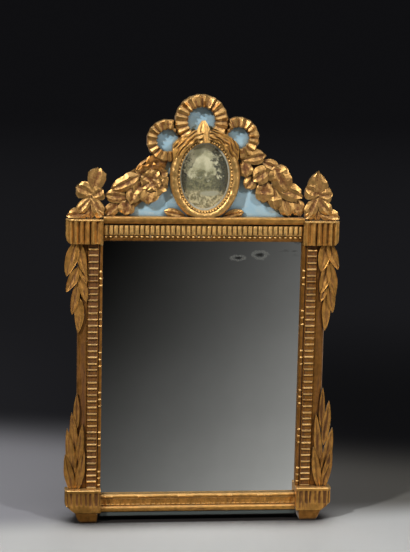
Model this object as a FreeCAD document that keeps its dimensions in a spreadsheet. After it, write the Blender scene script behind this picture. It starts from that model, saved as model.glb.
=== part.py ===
import FreeCAD, Part
import math
import os
import re
from types import SimpleNamespace

import Sketcher

# Pediment mirror: carved giltwood mouldings and ornaments on a painted pine carcass.
# Millimetres, +Z up. The glass faces -Y, and the origin lies on the floor midway between the feet.

# Driving sizes: name, value, what it measures
SIZES = [
    ("sight_width", 347, "clear width of the mirror plate"),
    ("sight_height", 444, "clear height of the mirror plate"),
    ("overrun", 5, "how far every cutting solid runs past what it cuts"),
    ("seat_clearance", 0.3, "air between carved pieces that stand side by side"),
    ("touching", 0.01, "points nearer than this lie in one plane"),
    # Pine carcass, plate and backboards
    ("carcass_depth", 20, "thickness of the stiles and rails"),
    ("carcass_inset", 3.5, "outer edge of a stile behind the edge of the gilt strip"),
    ("apron_drop", 12, "painted strip of the bottom rail below the gilt base moulding"),
    ("peg_radius", 4, "pegs of the corner half-laps"),
    ("glass_lap", 8, "plate hidden behind the mouldings"),
    ("glass_thickness", 4, "mirror plate"),
    ("glass_gap", 0.5, "play of plate and backboards in their rebate"),
    ("board_thickness", 7, "backboards"),
    ("glue_block_side", 7, "section of the glue blocks behind the backboards"),
    ("glue_block_length", 34, "length of a glue block"),
    # Side bars
    ("ladder_width", 25.5, "inner moulding of a side bar"),
    ("ladder_thickness", 13.5, "inner moulding at its rungs"),
    ("ladder_border", 1.6, "plain edge each side of the rungs"),
    ("fillet_width", 7, "plain fillet beside the plate"),
    ("fillet_thickness", 10, "plain fillet beside the plate"),
    ("fillet_bevel", 2.5, "bevel of the sight edge"),
    ("rung_count", 39, "hollows along a side bar"),
    ("scoop_width", 8.6, "hollows between the rungs, at the front"),
    ("scoop_depth", 2.8, "depth of those hollows"),
    ("strip_width", 17.5, "plain outer strip of a side bar"),
    ("strip_thickness", 11, "plain outer strip"),
    ("strip_round", 7, "rounded outer edge of the strip"),
    # Top frieze and cornice
    ("lip_height", 5, "plain lip above the plate"),
    ("pearl_row_height", 5, "seat of the pearl row"),
    ("pearl_seat_thickness", 7, "frieze behind the pearl row"),
    ("pearl_strip_thickness", 2.5, "strip that carries the pearls"),
    ("pearl_radius", 2.3, "one pearl"),
    ("reed_height", 18, "upright reeds"),
    ("reed_seat_thickness", 9, "frieze behind the reeds"),
    ("reed_radius", 3.9, "one reed"),
    ("reed_count", 39, "reeds, and pearls, along the frieze"),
    ("cove_height", 3, "shadow gap under the cornice"),
    ("cove_thickness", 8, "frieze at that gap"),
    ("cornice_height", 12, "cornice strip"),
    ("cornice_projection", 20, "cornice in front of the carcass"),
    ("cornice_undercut", 6, "slope under the cornice nose"),
    ("cornice_bevel", 1.5, "worn top edge of the cornice"),
    # Bottom rail
    ("base_gap", 16, "floor to the gilt base moulding"),
    ("base_moulding_height", 11, "half-round base moulding"),
    ("base_moulding_projection", 15, "base moulding in front of the carcass"),
    ("base_moulding_round", 5, "rounded edges of the base moulding"),
    ("bottom_frieze_height", 27, "fluted frieze below the plate"),
    ("bottom_lip_height", 7, "plain lip below the plate"),
    ("bottom_band_thickness", 9, "fluted band"),
    ("flute_margin", 2, "plain edge above and below the flutes"),
    ("flute_width", 6.4, "flutes, at the front"),
    ("flute_depth", 1.3, "depth of the flutes"),
    ("flute_count", 39, "flutes along the frieze"),
    # Corner capitals
    ("block_projection", 26, "capitals and base blocks in front of the carcass"),
    ("capital_height", 42, "corner capital"),
    ("capital_drop", 4, "capital below the top edge of the plate"),
    ("capital_overhang", 21, "capital beyond the side bar"),
    ("capital_round", 20, "rounded outer corner"),
    ("abacus_height", 3.5, "plain top of the capital"),
    ("capital_flute_width", 8.2, "flutes of a capital, at the front"),
    ("capital_flute_depth", 2.8, "depth of those flutes"),
    ("capital_flute_pitch", 10.5, "distance between flutes"),
    ("capital_front_flutes", 5, "flutes on the flat front"),
    ("capital_corner_flutes", 3, "flutes round the corner"),
    # Base blocks and feet
    ("block_height", 41, "base block"),
    ("block_overhang", 20, "block beyond the side bar"),
    ("block_round", 6, "rounded outer corner"),
    ("block_bevel_width", 18, "slanted lower corner, across"),
    ("block_bevel_height", 14, "slanted lower corner, up"),
    ("block_band", 6, "plain edge above and below the block flutes"),
    ("block_flute_width", 8, "flutes of a block, at the front"),
    ("block_flute_depth", 1.5, "depth of those flutes"),
    ("block_flute_pitch", 10.5, "distance between flutes"),
    ("block_flutes", 5, "flutes on the front"),
    ("foot_height", 19, "tapered foot"),
    ("foot_inset", 5, "foot from the inner face of its block"),
    ("foot_inner_taper", 2.5, "foot narrows at its inner side"),
    ("foot_outer_taper", 11, "foot narrows at its outer side"),
    ("foot_margin", 1.5, "foot behind the front and before the back"),
    ("foot_depth_taper", 5, "foot narrows at front and back"),
    ("dowel_radius", 5, "dowel between foot and block"),
    ("dowel_reach", 11, "dowel in each of the two"),
    # Laurel drops and sprigs on the side bars
    ("laurel_width", 38, "laurels, from the ladder moulding outwards"),
    ("drop_length", 158, "laurel drop under a capital"),
    ("sprig_length", 180, "laurel sprig on a base block"),
    ("laurel_relief", 10, "laurels in front of the strip"),
    # Finials on the capitals
    ("finial_height", 88, "carved finial"),
    ("finial_relief", 17, "thickness of the finial"),
    ("finial_setback", 4, "finial behind the front of its capital"),
    # Pediment
    ("panel_inset", 10.5, "painted pediment panel inside the edge of the opening"),
    ("panel_thickness", 12, "pediment panel"),
    ("panel_dowel_radius", 4, "dowels between panel and top rail"),
    ("panel_dowel_reach", 16, "dowel in each of the two"),
    ("panel_dowel_spacing", 190, "between the two dowels"),
    ("garland_clearance", 3, "garland inside the edge of the opening, clear of the finial"),
    ("garland_height", 108, "garland above the cornice"),
    ("garland_relief", 21, "garland in front of the panel"),
    # Medallion
    ("medallion_sunk", 6.5, "foot of the medallion frame cut flat by the cornice"),
    ("medallion_sight_width", 86, "oval opening"),
    ("medallion_sight_height", 116, "oval opening"),
    ("medallion_border", 17.5, "moulded oval frame"),
    ("medallion_thickness", 18, "moulded oval frame"),
    ("medallion_rebate", 4, "rebate round the back of the opening"),
    ("medallion_glass_thickness", 2, "glass over the print"),
    ("print_thickness", 0.5, "print"),
    ("card_thickness", 3, "card behind the print"),
    ("crest_height", 31, "leaf over the medallion"),
    ("crest_width", 20, "leaf over the medallion"),
    ("crest_relief", 23, "leaf in front of the panel"),
    ("crest_wing_length", 27, "side leaf of the crest"),
    ("crest_wing_width", 10, "side leaf of the crest"),
    ("spandrel_length", 29, "leaf beside the foot of the medallion"),
    ("spandrel_width", 14, "leaf beside the foot of the medallion"),
    ("spandrel_relief", 12, "leaf in front of the panel"),
    # Ribbon bow
    ("bow_shift", 8, "bow left of the middle, as carved"),
    ("bow_rise", 37, "centre of the middle loop above the oval opening"),
    ("loop_radius", 46, "middle loop"),
    ("loop_hole_radius", 23, "hole of the middle loop"),
    ("loop_relief", 15, "middle loop in front of the panel"),
    ("loop_edge", 8, "loops at their edges"),
    ("side_loop_radius", 36.5, "side loops"),
    ("side_loop_hole_radius", 18, "hole of the side loops"),
    ("side_loop_relief", 13, "side loops in front of the panel"),
    ("side_loop_shift", 4.5, "side loops left of the medallion's sides, as carved"),
    ("left_loop_reach", 57, "left loop from the middle loop, across"),
    ("left_loop_drop", 34, "left loop below the middle loop"),
    ("right_loop_reach", 64, "right loop from the middle loop, across"),
    ("right_loop_drop", 28, "right loop below the middle loop"),
    ("pleat_depth", 4, "valley between two pleats"),
    ("pleat_scallop", 1.5, "valley inside the edge of the loops"),
    ("loop_pleats", 27, "pleats of the middle loop"),
    ("side_loop_pleats", 22, "pleats of a side loop"),
    ("loop_seat", 4, "panel edge inside the edge of the loops"),
    # Hanger on the back of the panel
    ("hanger_rise", 23, "hinge of the hanging ring above the oval opening"),
    ("strap_width", 16, "folded iron strap"),
    ("strap_length", 58, "strap below its knuckle"),
    ("strap_thickness", 1.5, "folded iron strap"),
    ("ring_wire_radius", 1.5, "hanging ring"),
    ("ring_width", 30, "hanging ring, wire centre to wire centre"),
    ("ring_height", 26, "hanging ring, wire centre to wire centre"),
    ("ring_corner_radius", 5, "hanging ring at the wire centre"),
    ("ring_standoff", 3.5, "hinge behind the panel"),
    ("knuckle_clearance", 0.05, "running fit of the ring in its knuckle"),
    ("nail_width", 3, "forged nails of the strap"),
    ("nail_length", 9, "nails in the panel"),
    ("nail_head_width", 7, "nail head"),
    ("nail_head_height", 1.6, "nail head"),
    ("nail_drop", 36, "upper nail below the hinge"),
    ("nail_spacing", 12, "between the two nails"),
]

# Places worked out from the sizes
PLACES = [
    ("sight_half", "=sight_width / 2", "edge of the opening"),
    ("sight_bottom", "=base_gap + base_moulding_height + bottom_frieze_height", "lower edge of the opening"),
    ("sight_top", "=sight_bottom + sight_height", "upper edge of the opening"),
    ("back_y", "=(carcass_depth + block_projection) / 2", "wall side of the carcass"),
    ("front_y", "=back_y - carcass_depth", "front of the carcass, seat of the gilt work"),
    ("lap_y", "=back_y - carcass_depth / 2", "half-lap between stile and rail"),
    ("ladder_edge", "=sight_half + ladder_width", "ladder moulding meets strip"),
    ("bar_edge", "=ladder_edge + strip_width", "outer edge of a side bar"),
    ("carcass_edge", "=bar_edge - carcass_inset", "outer edge of a stile"),
    ("plate_edge", "=sight_half + glass_lap", "inner edge of a stile"),
    ("apron_bottom", "=base_gap - apron_drop", "lower edge of the bottom rail"),
    ("bottom_rail_top", "=sight_bottom - glass_lap", "upper edge of the bottom rail"),
    ("top_rail_bottom", "=sight_top + glass_lap", "lower edge of the top rail"),
    ("block_edge", "=bar_edge + block_overhang", "outer face of a base block"),
    ("block_top", "=foot_height + block_height", "top of a base block"),
    ("capital_edge", "=bar_edge + capital_overhang", "outer face of a capital"),
    ("capital_bottom", "=sight_top - capital_drop", "underside of a capital"),
    ("capital_top", "=capital_bottom + capital_height", "top of a capital and of the carcass"),
    ("cornice_bottom", "=sight_top + lip_height + pearl_row_height + reed_height + cove_height", "cornice"),
    ("cornice_top", "=cornice_bottom + cornice_height", "seat of the pediment ornaments"),
    ("panel_half_width", "=sight_half - panel_inset", "painted pediment panel, from its middle"),
    ("medallion_z", "=cornice_top + medallion_sight_height / 2 + medallion_border - medallion_sunk", "centre"),
    ("medallion_top", "=medallion_z + medallion_sight_height / 2", "top of the oval opening"),
    ("medallion_half", "=medallion_sight_width / 2 + medallion_border", "outer edge of the medallion frame"),
    ("garland_width", "=sight_half - medallion_half - garland_clearance", "garland, from the medallion"),
    ("garland_leaf_scale", "=(garland_width + garland_height) / 2", "what its leaves' widths follow"),
    ("bow_x", "=-bow_shift", "centre of the middle loop"),
    ("bow_z", "=medallion_top + bow_rise", "centre of the middle loop"),
    ("left_loop_x", "=-max(medallion_half + side_loop_shift; bow_shift + left_loop_reach)", "left loop"),
    ("left_loop_z", "=bow_z - left_loop_drop", "centre of the left loop"),
    ("right_loop_x", "=max(medallion_half - side_loop_shift; right_loop_reach - bow_shift)", "right loop"),
    ("right_loop_z", "=bow_z - right_loop_drop", "centre of the right loop"),
    ("panel_back_y", "=front_y + panel_thickness", "back of the pediment panel"),
    ("hinge_y", "=panel_back_y + ring_standoff", "hinge of the hanging ring"),
    ("hinge_z", "=medallion_top + hanger_rise", "hinge of the hanging ring"),
]

# Shapes that follow the sizes, as shares of them
leaf_belly_share = 0.42
leaf_station_shares = (0, 0.22, 0.6, 1)
leaf_crest_share = 0.5
leaf_crown_share = 0.3
bud_crown_share = 0.45
midrib_depth_share = 0.6
crest_wing_share = 0.34
wing_tuck_share = 0.12
wing_relief_share = 0.96
loop_shoulder_share = 0.3
oval_sides = 36
peg_sides = 8
ring_bend_steps = 3
wire_sides = 16
gouge_floor_share = 0.22

# Section of one reed: aside and forward in reed_radius
reed_outline_shares = [(-1.0, -0.3), (-0.55, 0.9), (0.55, 0.9), (1.0, -0.3)]

# Steps of one pearl: size and forward in pearl_radius
pearl_step_shares = [(1.0, -0.1), (0.55, 0.85)]
pearl_sides = 6

# Half outline of the pediment panel: across in panel_half_width, up in garland_height
panel_outline_shares = [(1.0, 0.22), (0.88, 0.44), (0.62, 0.83), (0.36, 1.12), (0.2, 1.45)]

# Section of the medallion frame, outer and inner side: outwards in medallion_border, forwards in
# medallion_thickness
medallion_outer_shares = [(1.0, 0.0), (1.0, 0.42), (0.84, 0.82), (0.5, 1.0)]
medallion_inner_shares = [(0.6, 1.1), (0.4, 0.93), (0.24, 0.64), (0.0, 0.5), (0.0, -0.1)]

# Leaves: root across, root up, tip across, tip up, width, height
# in the width, height and relief of the ornament
garland_left_shares = [
    (0.32, 0.95, 0.56, 0.72, 0.09, 0.35),
    (0.03, 0.86, 0.34, 0.76, 0.24, 0.6),
    (0.30, 0.53, 0.35, 0.20, 0.25, 0.7),
    (0.46, 0.50, 0.60, 0.20, 0.18, 0.62),
    (0.62, 0.28, 1.0, 0.32, 0.17, 0.66),
    (0.62, 0.27, 0.99, 0.0, 0.16, 0.5),
    (0.60, 0.30, 0.66, -0.02, 0.22, 0.55),
    (0.52, 0.62, 0.66, 0.2, 0.2, 0.45),
    (0.08, 0.92, 0.92, 0.08, 0.3, 0.32),
]
garland_left_bud_shares = [(0.52, 0.72, 0.9, 0.4, 0.24, 1.0)]
garland_left_flower_shares = (0.28, 0.6, 0.08, 0.85)
garland_left_petal_shares = (0.26, 0.17, 0.72)
garland_petals = 7
garland_right_shares = [
    (0.0, 0.89, 0.40, 0.99, 0.20, 0.7),
    (0.32, 0.89, 0.58, 0.78, 0.17, 0.6),
    (0.01, 0.88, 0.08, 0.63, 0.20, 0.6),
    (0.50, 0.76, 0.18, 0.59, 0.25, 0.8),
    (0.22, 0.65, 0.08, 0.45, 0.17, 0.62),
    (0.38, 0.58, 0.36, 0.22, 0.24, 0.7),
    (0.50, 0.50, 0.58, 0.10, 0.17, 0.6),
    (0.50, 0.50, 1.0, 0.33, 0.25, 0.82),
    (0.71, 0.42, 0.80, -0.02, 0.22, 0.62),
    (0.86, 0.40, 0.96, -0.02, 0.17, 0.5),
    (0.08, 0.96, 0.94, 0.1, 0.3, 0.36),
]
garland_right_bud_shares = [(0.53, 0.8, 0.77, 0.38, 0.28, 1.0)]

finial_left_shares = [
    (0.32, 0.46, 0.15, 1.0, 0.46, 0.9),
    (0.26, 0.50, 0.76, 0.64, 0.46, 0.8),
    (0.40, 0.43, 0.0, 0.57, 0.33, 0.95),
    (0.28, 0.42, 0.72, 0.05, 0.24, 0.75),
    (0.36, 0.42, 0.06, -0.02, 0.25, 0.8),
    (0.40, 0.02, 0.98, 0.03, 0.2, 0.6),
    (0.32, 0.62, 0.38, -0.08, 0.24, 1.0),
]
finial_right_shares = [
    (0.36, 0.48, 0.35, 0.98, 0.38, 0.9),
    (0.44, 0.48, 0.03, 0.63, 0.43, 0.8),
    (0.32, 0.50, 0.75, 0.55, 0.33, 0.95),
    (0.40, 0.46, 0.04, -0.01, 0.28, 0.8),
    (0.32, 0.45, 0.71, 0.07, 0.28, 0.75),
    (0.44, 0.04, 0.98, 0.02, 0.2, 0.6),
    (0.36, 0.62, 0.40, -0.08, 0.24, 1.0),
]
drop_left_shares = [
    (0.48, 1.05, 0.94, 0.64, 0.52, 0.95),
    (0.44, 1.05, 0.06, 0.64, 0.36, 0.8),
    (0.40, 0.78, 0.98, 0.47, 0.39, 0.9),
    (0.42, 0.83, 0.03, 0.55, 0.30, 0.7),
    (0.38, 0.69, 0.04, 0.35, 0.34, 0.8),
    (0.40, 0.60, 0.70, 0.21, 0.30, 0.85),
    (0.38, 0.52, 0.42, 0.0, 0.36, 1.0),
    (0.46, 1.05, 0.38, 0.2, 0.12, 0.6),
]
drop_right_shares = [
    (0.46, 1.05, 0.97, 0.72, 0.40, 0.9),
    (0.42, 1.05, 0.10, 0.70, 0.48, 0.95),
    (0.50, 0.84, 0.86, 0.40, 0.42, 0.85),
    (0.48, 0.80, 0.14, 0.46, 0.42, 0.9),
    (0.52, 0.60, 0.76, 0.23, 0.34, 0.8),
    (0.44, 0.60, 0.18, 0.36, 0.26, 0.75),
    (0.46, 0.52, 0.42, 0.02, 0.34, 1.0),
    (0.46, 1.05, 0.46, 0.2, 0.12, 0.6),
]
sprig_left_shares = [
    (0.56, -0.04, 0.97, 0.35, 0.38, 0.95),
    (0.52, 0.10, 0.88, 0.61, 0.36, 0.85),
    (0.48, 0.42, 0.66, 0.77, 0.26, 0.8),
    (0.50, -0.04, 0.09, 0.40, 0.34, 0.9),
    (0.48, 0.16, 0.18, 0.65, 0.32, 0.8),
    (0.44, 0.54, 0.43, 0.96, 0.26, 1.0),
    (0.52, -0.04, 0.44, 0.8, 0.12, 0.6),
]
sprig_right_shares = [
    (0.54, -0.04, 0.97, 0.40, 0.34, 0.95),
    (0.52, 0.13, 0.96, 0.59, 0.36, 0.85),
    (0.52, 0.38, 0.76, 0.87, 0.34, 0.8),
    (0.48, -0.04, 0.08, 0.40, 0.34, 0.9),
    (0.48, 0.18, 0.15, 0.74, 0.34, 0.8),
    (0.47, 0.54, 0.44, 1.0, 0.26, 1.0),
    (0.50, -0.04, 0.46, 0.8, 0.12, 0.6),
]

V = FreeCAD.Vector
RIGHT_ANGLE = 90
FULL_TURN = 360
TURNED_TO = {
    "x": FreeCAD.Rotation(V(0, 1, 0), RIGHT_ANGLE),
    "y": FreeCAD.Rotation(V(1, 0, 0), -RIGHT_ANGLE),
    "z": FreeCAD.Rotation(),
}
SIDES = (("left", "-"), ("right", ""))

doc = FreeCAD.newDocument("pediment_mirror")
sheet = doc.addObject("Spreadsheet::Sheet", "sizes")
for line, (alias, amount, meaning) in enumerate(SIZES + PLACES, start=1):
    sheet.set(f"A{line}", meaning)
    sheet.set(f"B{line}", str(amount))
    sheet.setAlias(f"B{line}", alias)
doc.recompute()
mm = SimpleNamespace(**{alias: float(sheet.get(alias)) for alias, _, _ in SIZES + PLACES})
nodes = []


# Helpers

def cells(text):
    """An expression in size names, with each name turned into its cell."""
    return re.sub(r"[a-z]\w+", lambda word: "sizes." + word.group(), text)


def bind(thing, path, text):
    thing.setExpression(path, cells(text))


def node(thing, name):
    """Names a finished sub-part and puts it on the list of files to write."""
    thing.Label = name
    nodes.append(thing)
    return thing


def lower_x(sign, near, far):
    """The lower X of a span from near to far, on the right or mirrored to the left."""
    return f"-({far})" if sign else near


def place(solid, corner):
    for axis, text in zip("xyz", corner):
        bind(solid, "Placement.Base." + axis, text)


def box(name, corner, extent):
    solid = doc.addObject("Part::Box", name)
    for path, text in zip(("Length", "Width", "Height"), extent):
        bind(solid, path, text)
    place(solid, corner)
    return solid


def cylinder(name, axis, start, radius, length):
    solid = doc.addObject("Part::Cylinder", name)
    bind(solid, "Radius", radius)
    bind(solid, "Height", length)
    solid.Placement = FreeCAD.Placement(V(0, 0, 0), TURNED_TO[axis])
    place(solid, start)
    return solid


def whittled(name, axis, start, radius, length):
    """An eight-sided peg, as whittled by hand, or the hole it is driven into."""
    solid = doc.addObject("Part::Prism", name)
    solid.Polygon = peg_sides
    bind(solid, "Circumradius", radius)
    bind(solid, "Height", length)
    solid.Placement = FreeCAD.Placement(V(0, 0, 0), TURNED_TO[axis])
    place(solid, start)
    return solid


def group(name, pieces):
    result = doc.addObject("Part::Compound", name)
    result.Links = pieces
    return result


def fuse(name, pieces):
    result = doc.addObject("Part::MultiFuse", name)
    result.Shapes = pieces
    result.Refine = True
    return result


def cut(name, base, tools):
    """Takes each tool away from the base, one after the other."""
    for count, tool in enumerate(tools, start=1):
        last = count == len(tools)
        result = doc.addObject("Part::Cut", name if last else f"{name}_cut_{count}")
        result.Base = base
        result.Tool = tool
        result.Refine = last
        base = result
    return base


def attach(body, thing, plane, offset):
    """Puts a sketch or a primitive on one of the body's own planes, moved along the plane's axes."""
    support = [item for item in body.Origin.OriginFeatures if item.Role == plane][0]
    thing.AttachmentSupport = [(support, "")]
    thing.MapMode = "FlatFace"
    for axis, text in zip("xyz", offset):
        bind(thing, "AttachmentOffset.Base." + axis, text)


def sketch_on(body, name, plane, offset=("0", "0", "0")):
    sketch = body.newObject("Sketcher::SketchObject", name)
    attach(body, sketch, plane, offset)
    return sketch


def pin(sketch, geometry, point, name, place_text):
    """Holds a point of a sketch at its two distances from the sketch's origin."""
    for axis, text in zip("XY", place_text):
        index = sketch.addConstraint(Sketcher.Constraint("Distance" + axis, -1, 1, geometry, point, 1.0))
        sketch.renameConstraint(index, name + axis)
        bind(sketch, f"Constraints.{name}{axis}", text)


def outline(sketch, corners):
    """A closed outline of straight lines, drawn on a unit circle and pulled to its corners."""
    count = len(corners)
    ring = [V(math.cos(2 * math.pi * k / count), math.sin(2 * math.pi * k / count), 0) for k in range(count)]
    for k in range(count):
        sketch.addGeometry(Part.LineSegment(ring[k], ring[(k + 1) % count]), False)
    for k in range(count):
        sketch.addConstraint(Sketcher.Constraint("Coincident", k, 2, (k + 1) % count, 1))
    for k, corner in enumerate(corners):
        pin(sketch, k, 1, f"corner_{k}_", corner)


def gouge(sketch, mouth, width, depth, into):
    """The three-sided cut of a gouge: into is the sketch axis that leads into the wood."""
    floor = f"({width} * {gouge_floor_share})"
    wide = f"({width} / 2 + overrun * ({width} / 2 - {floor}) / {depth})"
    corners = [("-overrun", wide), (depth, floor), (depth, f"-{floor}"), ("-overrun", f"-{wide}")]
    places = []
    for inwards, aside in corners:
        place_text = [f"{mouth[0]} + {aside}", f"{mouth[1]} + {aside}"]
        place_text[into] = f"{mouth[into]} + {inwards}"
        places.append(place_text)
    outline(sketch, places)


def circle(sketch, centre, radius):
    index = sketch.addGeometry(Part.Circle(V(0, 0, 0), V(0, 0, 1), 1.0), False)
    pin(sketch, index, 3, "centre_", centre)
    constraint = sketch.addConstraint(Sketcher.Constraint("Radius", index, 1.0))
    sketch.renameConstraint(constraint, "radius")
    bind(sketch, "Constraints.radius", radius)


def pad(body, name, sketch, length):
    feature = body.newObject("PartDesign::Pad", name)
    feature.Profile = sketch
    bind(feature, "Length", length)
    return feature


def pocket(body, name, sketch, length, along_normal=True):
    feature = body.newObject("PartDesign::Pocket", name)
    feature.Profile = sketch
    feature.Reversed = along_normal
    bind(feature, "Length", length)
    return feature


def row_of(body, name, original, axis, length, count):
    """Repeats a feature along one of the body's own axes."""
    feature = body.newObject("PartDesign::LinearPattern", name)
    feature.Originals = [original]
    line = [item for item in body.Origin.OriginFeatures if item.Role == axis][0]
    feature.Direction = (line, [""])
    bind(feature, "Length", length)
    bind(feature, "Occurrences", count)
    body.Tip = feature
    return feature


def ring_of(body, name, original, sketch, sketch_axis, angle, count):
    """Repeats a feature round an axis of a sketch."""
    feature = body.newObject("PartDesign::PolarPattern", name)
    feature.Originals = [original]
    feature.Axis = (sketch, [sketch_axis])
    feature.Angle = angle
    bind(feature, "Occurrences", count)
    body.Tip = feature
    return feature


def round_edges(body, name, feature, radius, wanted):
    """Rounds the straight edges whose two ends both lie where wanted says."""
    doc.recompute()
    names = []
    for index, edge in enumerate(feature.Shape.Edges, start=1):
        if all(wanted(vertex.Point) for vertex in edge.Vertexes):
            names.append(f"Edge{index}")
    result = body.newObject("PartDesign::Fillet", name)
    result.Base = (feature, names)
    bind(result, "Radius", radius)
    return result


def near(first, second):
    return abs(first - second) < mm.touching


# Carcass: two stiles and two rails with pegged half-laps

PEG_X = "(plate_edge + carcass_edge) / 2"
PEG_Z = {"top": "(top_rail_bottom + capital_top) / 2", "bottom": "(foot_height + bottom_rail_top) / 2"}


def peg(name, sign, level):
    return whittled(name, "y", (f"{sign}({PEG_X})", "front_y", PEG_Z[level]), "peg_radius", "carcass_depth")


def back_stile(side, sign):
    name = f"back_stile_{side}"
    left = lower_x(sign, "plate_edge", "carcass_edge")
    width = "carcass_edge - plate_edge"
    blank = box(name + "_blank", (left, "front_y", "foot_height"),
                (width, "carcass_depth", "capital_top - foot_height"))
    wide_left = f"{left} - overrun"
    wide = f"{width} + 2 * overrun"
    lap_depth = "carcass_depth / 2 + overrun"
    top_lap = box(name + "_top_lap", (wide_left, "lap_y", "top_rail_bottom"),
                  (wide, lap_depth, "capital_top - top_rail_bottom + overrun"))
    bottom_lap = box(name + "_bottom_lap", (wide_left, "lap_y", "foot_height - overrun"),
                     (wide, lap_depth, "bottom_rail_top - foot_height + overrun"))
    holes = [peg(f"{name}_{level}_hole", sign, level) for level in PEG_Z]
    node(cut(name, blank, [top_lap, bottom_lap] + holes), name)


def panel_dowel(name, sign):
    start = (f"{sign}(panel_dowel_spacing / 2)", "front_y + panel_thickness / 2",
             "capital_top - panel_dowel_reach")
    return whittled(name, "z", start, "panel_dowel_radius", "2 * panel_dowel_reach")


def back_rail(level, bottom, top, extra, holes):
    """A rail whose back half runs behind both stiles and whose front half fits between them."""
    name = f"back_{level}_rail"
    height = f"{top} - {bottom}"
    tongues = box(name + "_tongues", ("-carcass_edge", "lap_y", bottom),
                  ("2 * carcass_edge", "carcass_depth / 2", height))
    middle = box(name + "_middle", ("-plate_edge", "front_y", bottom),
                 ("2 * plate_edge", "carcass_depth / 2", height))
    blank = fuse(name + "_blank", [tongues, middle] + extra)
    pegs = [peg(f"{name}_{side}_hole", sign, level) for side, sign in SIDES]
    node(cut(name, blank, pegs + holes), name)


for side, sign in SIDES:
    back_stile(side, sign)
back_rail("top", "top_rail_bottom", "capital_top", [],
          [panel_dowel(f"top_rail_dowel_hole_{side}", sign) for side, sign in SIDES])
apron = box("bottom_rail_apron", ("-sight_half", "front_y", "apron_bottom"),
            ("sight_width", "carcass_depth", "foot_height - apron_bottom"))
back_rail("bottom", "foot_height", "bottom_rail_top", [apron], [])
node(group("corner_pegs", [peg(f"peg_{level}_{side}", sign, level)
                           for level in PEG_Z for side, sign in SIDES]), "corner_pegs")


# Mirror plate, two backboards and the glue blocks that hold them

def rebate_sheet(name, y, thickness, bottom, height):
    """A sheet that lies in the rebate with play at its sides."""
    sheet_left = "-(plate_edge - glass_gap)"
    return node(box(name, (sheet_left, y, bottom), ("2 * (plate_edge - glass_gap)", thickness, height)), name)


REBATE_HEIGHT = "(sight_height + 2 * glass_lap - 2 * glass_gap)"
rebate_sheet("mirror_plate", "front_y", "glass_thickness", "bottom_rail_top + glass_gap", REBATE_HEIGHT)
for level, rise in (("lower", "0"), ("upper", REBATE_HEIGHT + " / 2")):
    rebate_sheet(f"backboard_{level}", "front_y + glass_thickness", "board_thickness",
                 f"bottom_rail_top + glass_gap + {rise}", REBATE_HEIGHT + " / 2")


def glue_block(name, corner, turned):
    """A three-sided block with one face on the frame and one on the backboard."""
    block = doc.addObject("Part::Wedge", name)
    for path in ("Xmin", "Ymin", "Zmin", "X2min", "Z2min"):
        bind(block, path, "0")
    bind(block, "Xmax", "glue_block_side")
    bind(block, "Ymax", "glue_block_side")
    bind(block, "Zmax", "glue_block_length")
    bind(block, "X2max", "glue_block_side / 4")
    bind(block, "Z2max", "glue_block_length")
    block.Placement = FreeCAD.Placement(V(0, 0, 0), turned)
    place(block, corner)
    return block


BLOCK_Y = "front_y + glass_thickness + board_thickness"
UPRIGHT = FreeCAD.Rotation()
UPSIDE_DOWN = FreeCAD.Rotation(V(0, 1, 0), 2 * RIGHT_ANGLE)
LYING = FreeCAD.Rotation(V(0, 1, 0), -RIGHT_ANGLE)
LYING_OVER = FreeCAD.Rotation(V(0, 1, 0), RIGHT_ANGLE)
glue_blocks = []
glue_block_shares = (0.15, 0.5, 0.85)
for share in glue_block_shares:
    low = f"bottom_rail_top + {REBATE_HEIGHT} * {share} - glue_block_length / 2"
    high = f"{low} + glue_block_length"
    glue_blocks.append(glue_block("left_glue_block", ("-plate_edge", BLOCK_Y, low), UPRIGHT))
    glue_blocks.append(glue_block("right_glue_block", ("plate_edge", BLOCK_Y, high), UPSIDE_DOWN))
    near_end = f"2 * plate_edge * {share} - plate_edge - glue_block_length / 2"
    far_end = f"{near_end} + glue_block_length"
    glue_blocks.append(glue_block("bottom_glue_block", (far_end, BLOCK_Y, "bottom_rail_top"), LYING))
    glue_blocks.append(glue_block("top_glue_block", (near_end, BLOCK_Y, "top_rail_bottom"), LYING_OVER))
node(group("glue_blocks", glue_blocks), "glue_blocks")


# Side bars: a ladder moulding beside the plate and a plain strip outside it

BAR_LENGTH = "(capital_bottom - block_top)"
RUNG_PITCH = f"({BAR_LENGTH} / rung_count)"


def ladder_moulding(side, sign):
    name = f"ladder_moulding_{side}"
    body = node(doc.addObject("PartDesign::Body", name), name)
    section = [
        ("sight_half", "front_y"),
        ("sight_half", "front_y - fillet_thickness + fillet_bevel"),
        ("sight_half + fillet_bevel", "front_y - fillet_thickness"),
        ("sight_half + fillet_width", "front_y - fillet_thickness"),
        ("sight_half + fillet_width", "front_y - ladder_thickness"),
        ("ladder_edge", "front_y - ladder_thickness"),
        ("ladder_edge", "front_y"),
    ]
    profile = sketch_on(body, name + "_section", "XY_Plane", ("0", "0", "block_top"))
    outline(profile, [(f"{sign}({x})", y) for x, y in section])
    pad(body, name + "_bar", profile, BAR_LENGTH)
    inner = "sight_half + fillet_width + ladder_border"
    outer = "ladder_edge - ladder_border"
    scoop = sketch_on(body, name + "_scoop", "YZ_Plane", ("0", "0", lower_x(sign, inner, outer)))
    mouth = ("front_y - ladder_thickness", f"block_top + {RUNG_PITCH} / 2")
    gouge(scoop, mouth, "scoop_width", "scoop_depth", into=0)
    hollow = pocket(body, name + "_hollow", scoop, f"{outer} - ({inner})")
    row_of(body, name + "_hollows", hollow, "Z_Axis", f"{BAR_LENGTH} - {RUNG_PITCH}", "rung_count")


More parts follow.
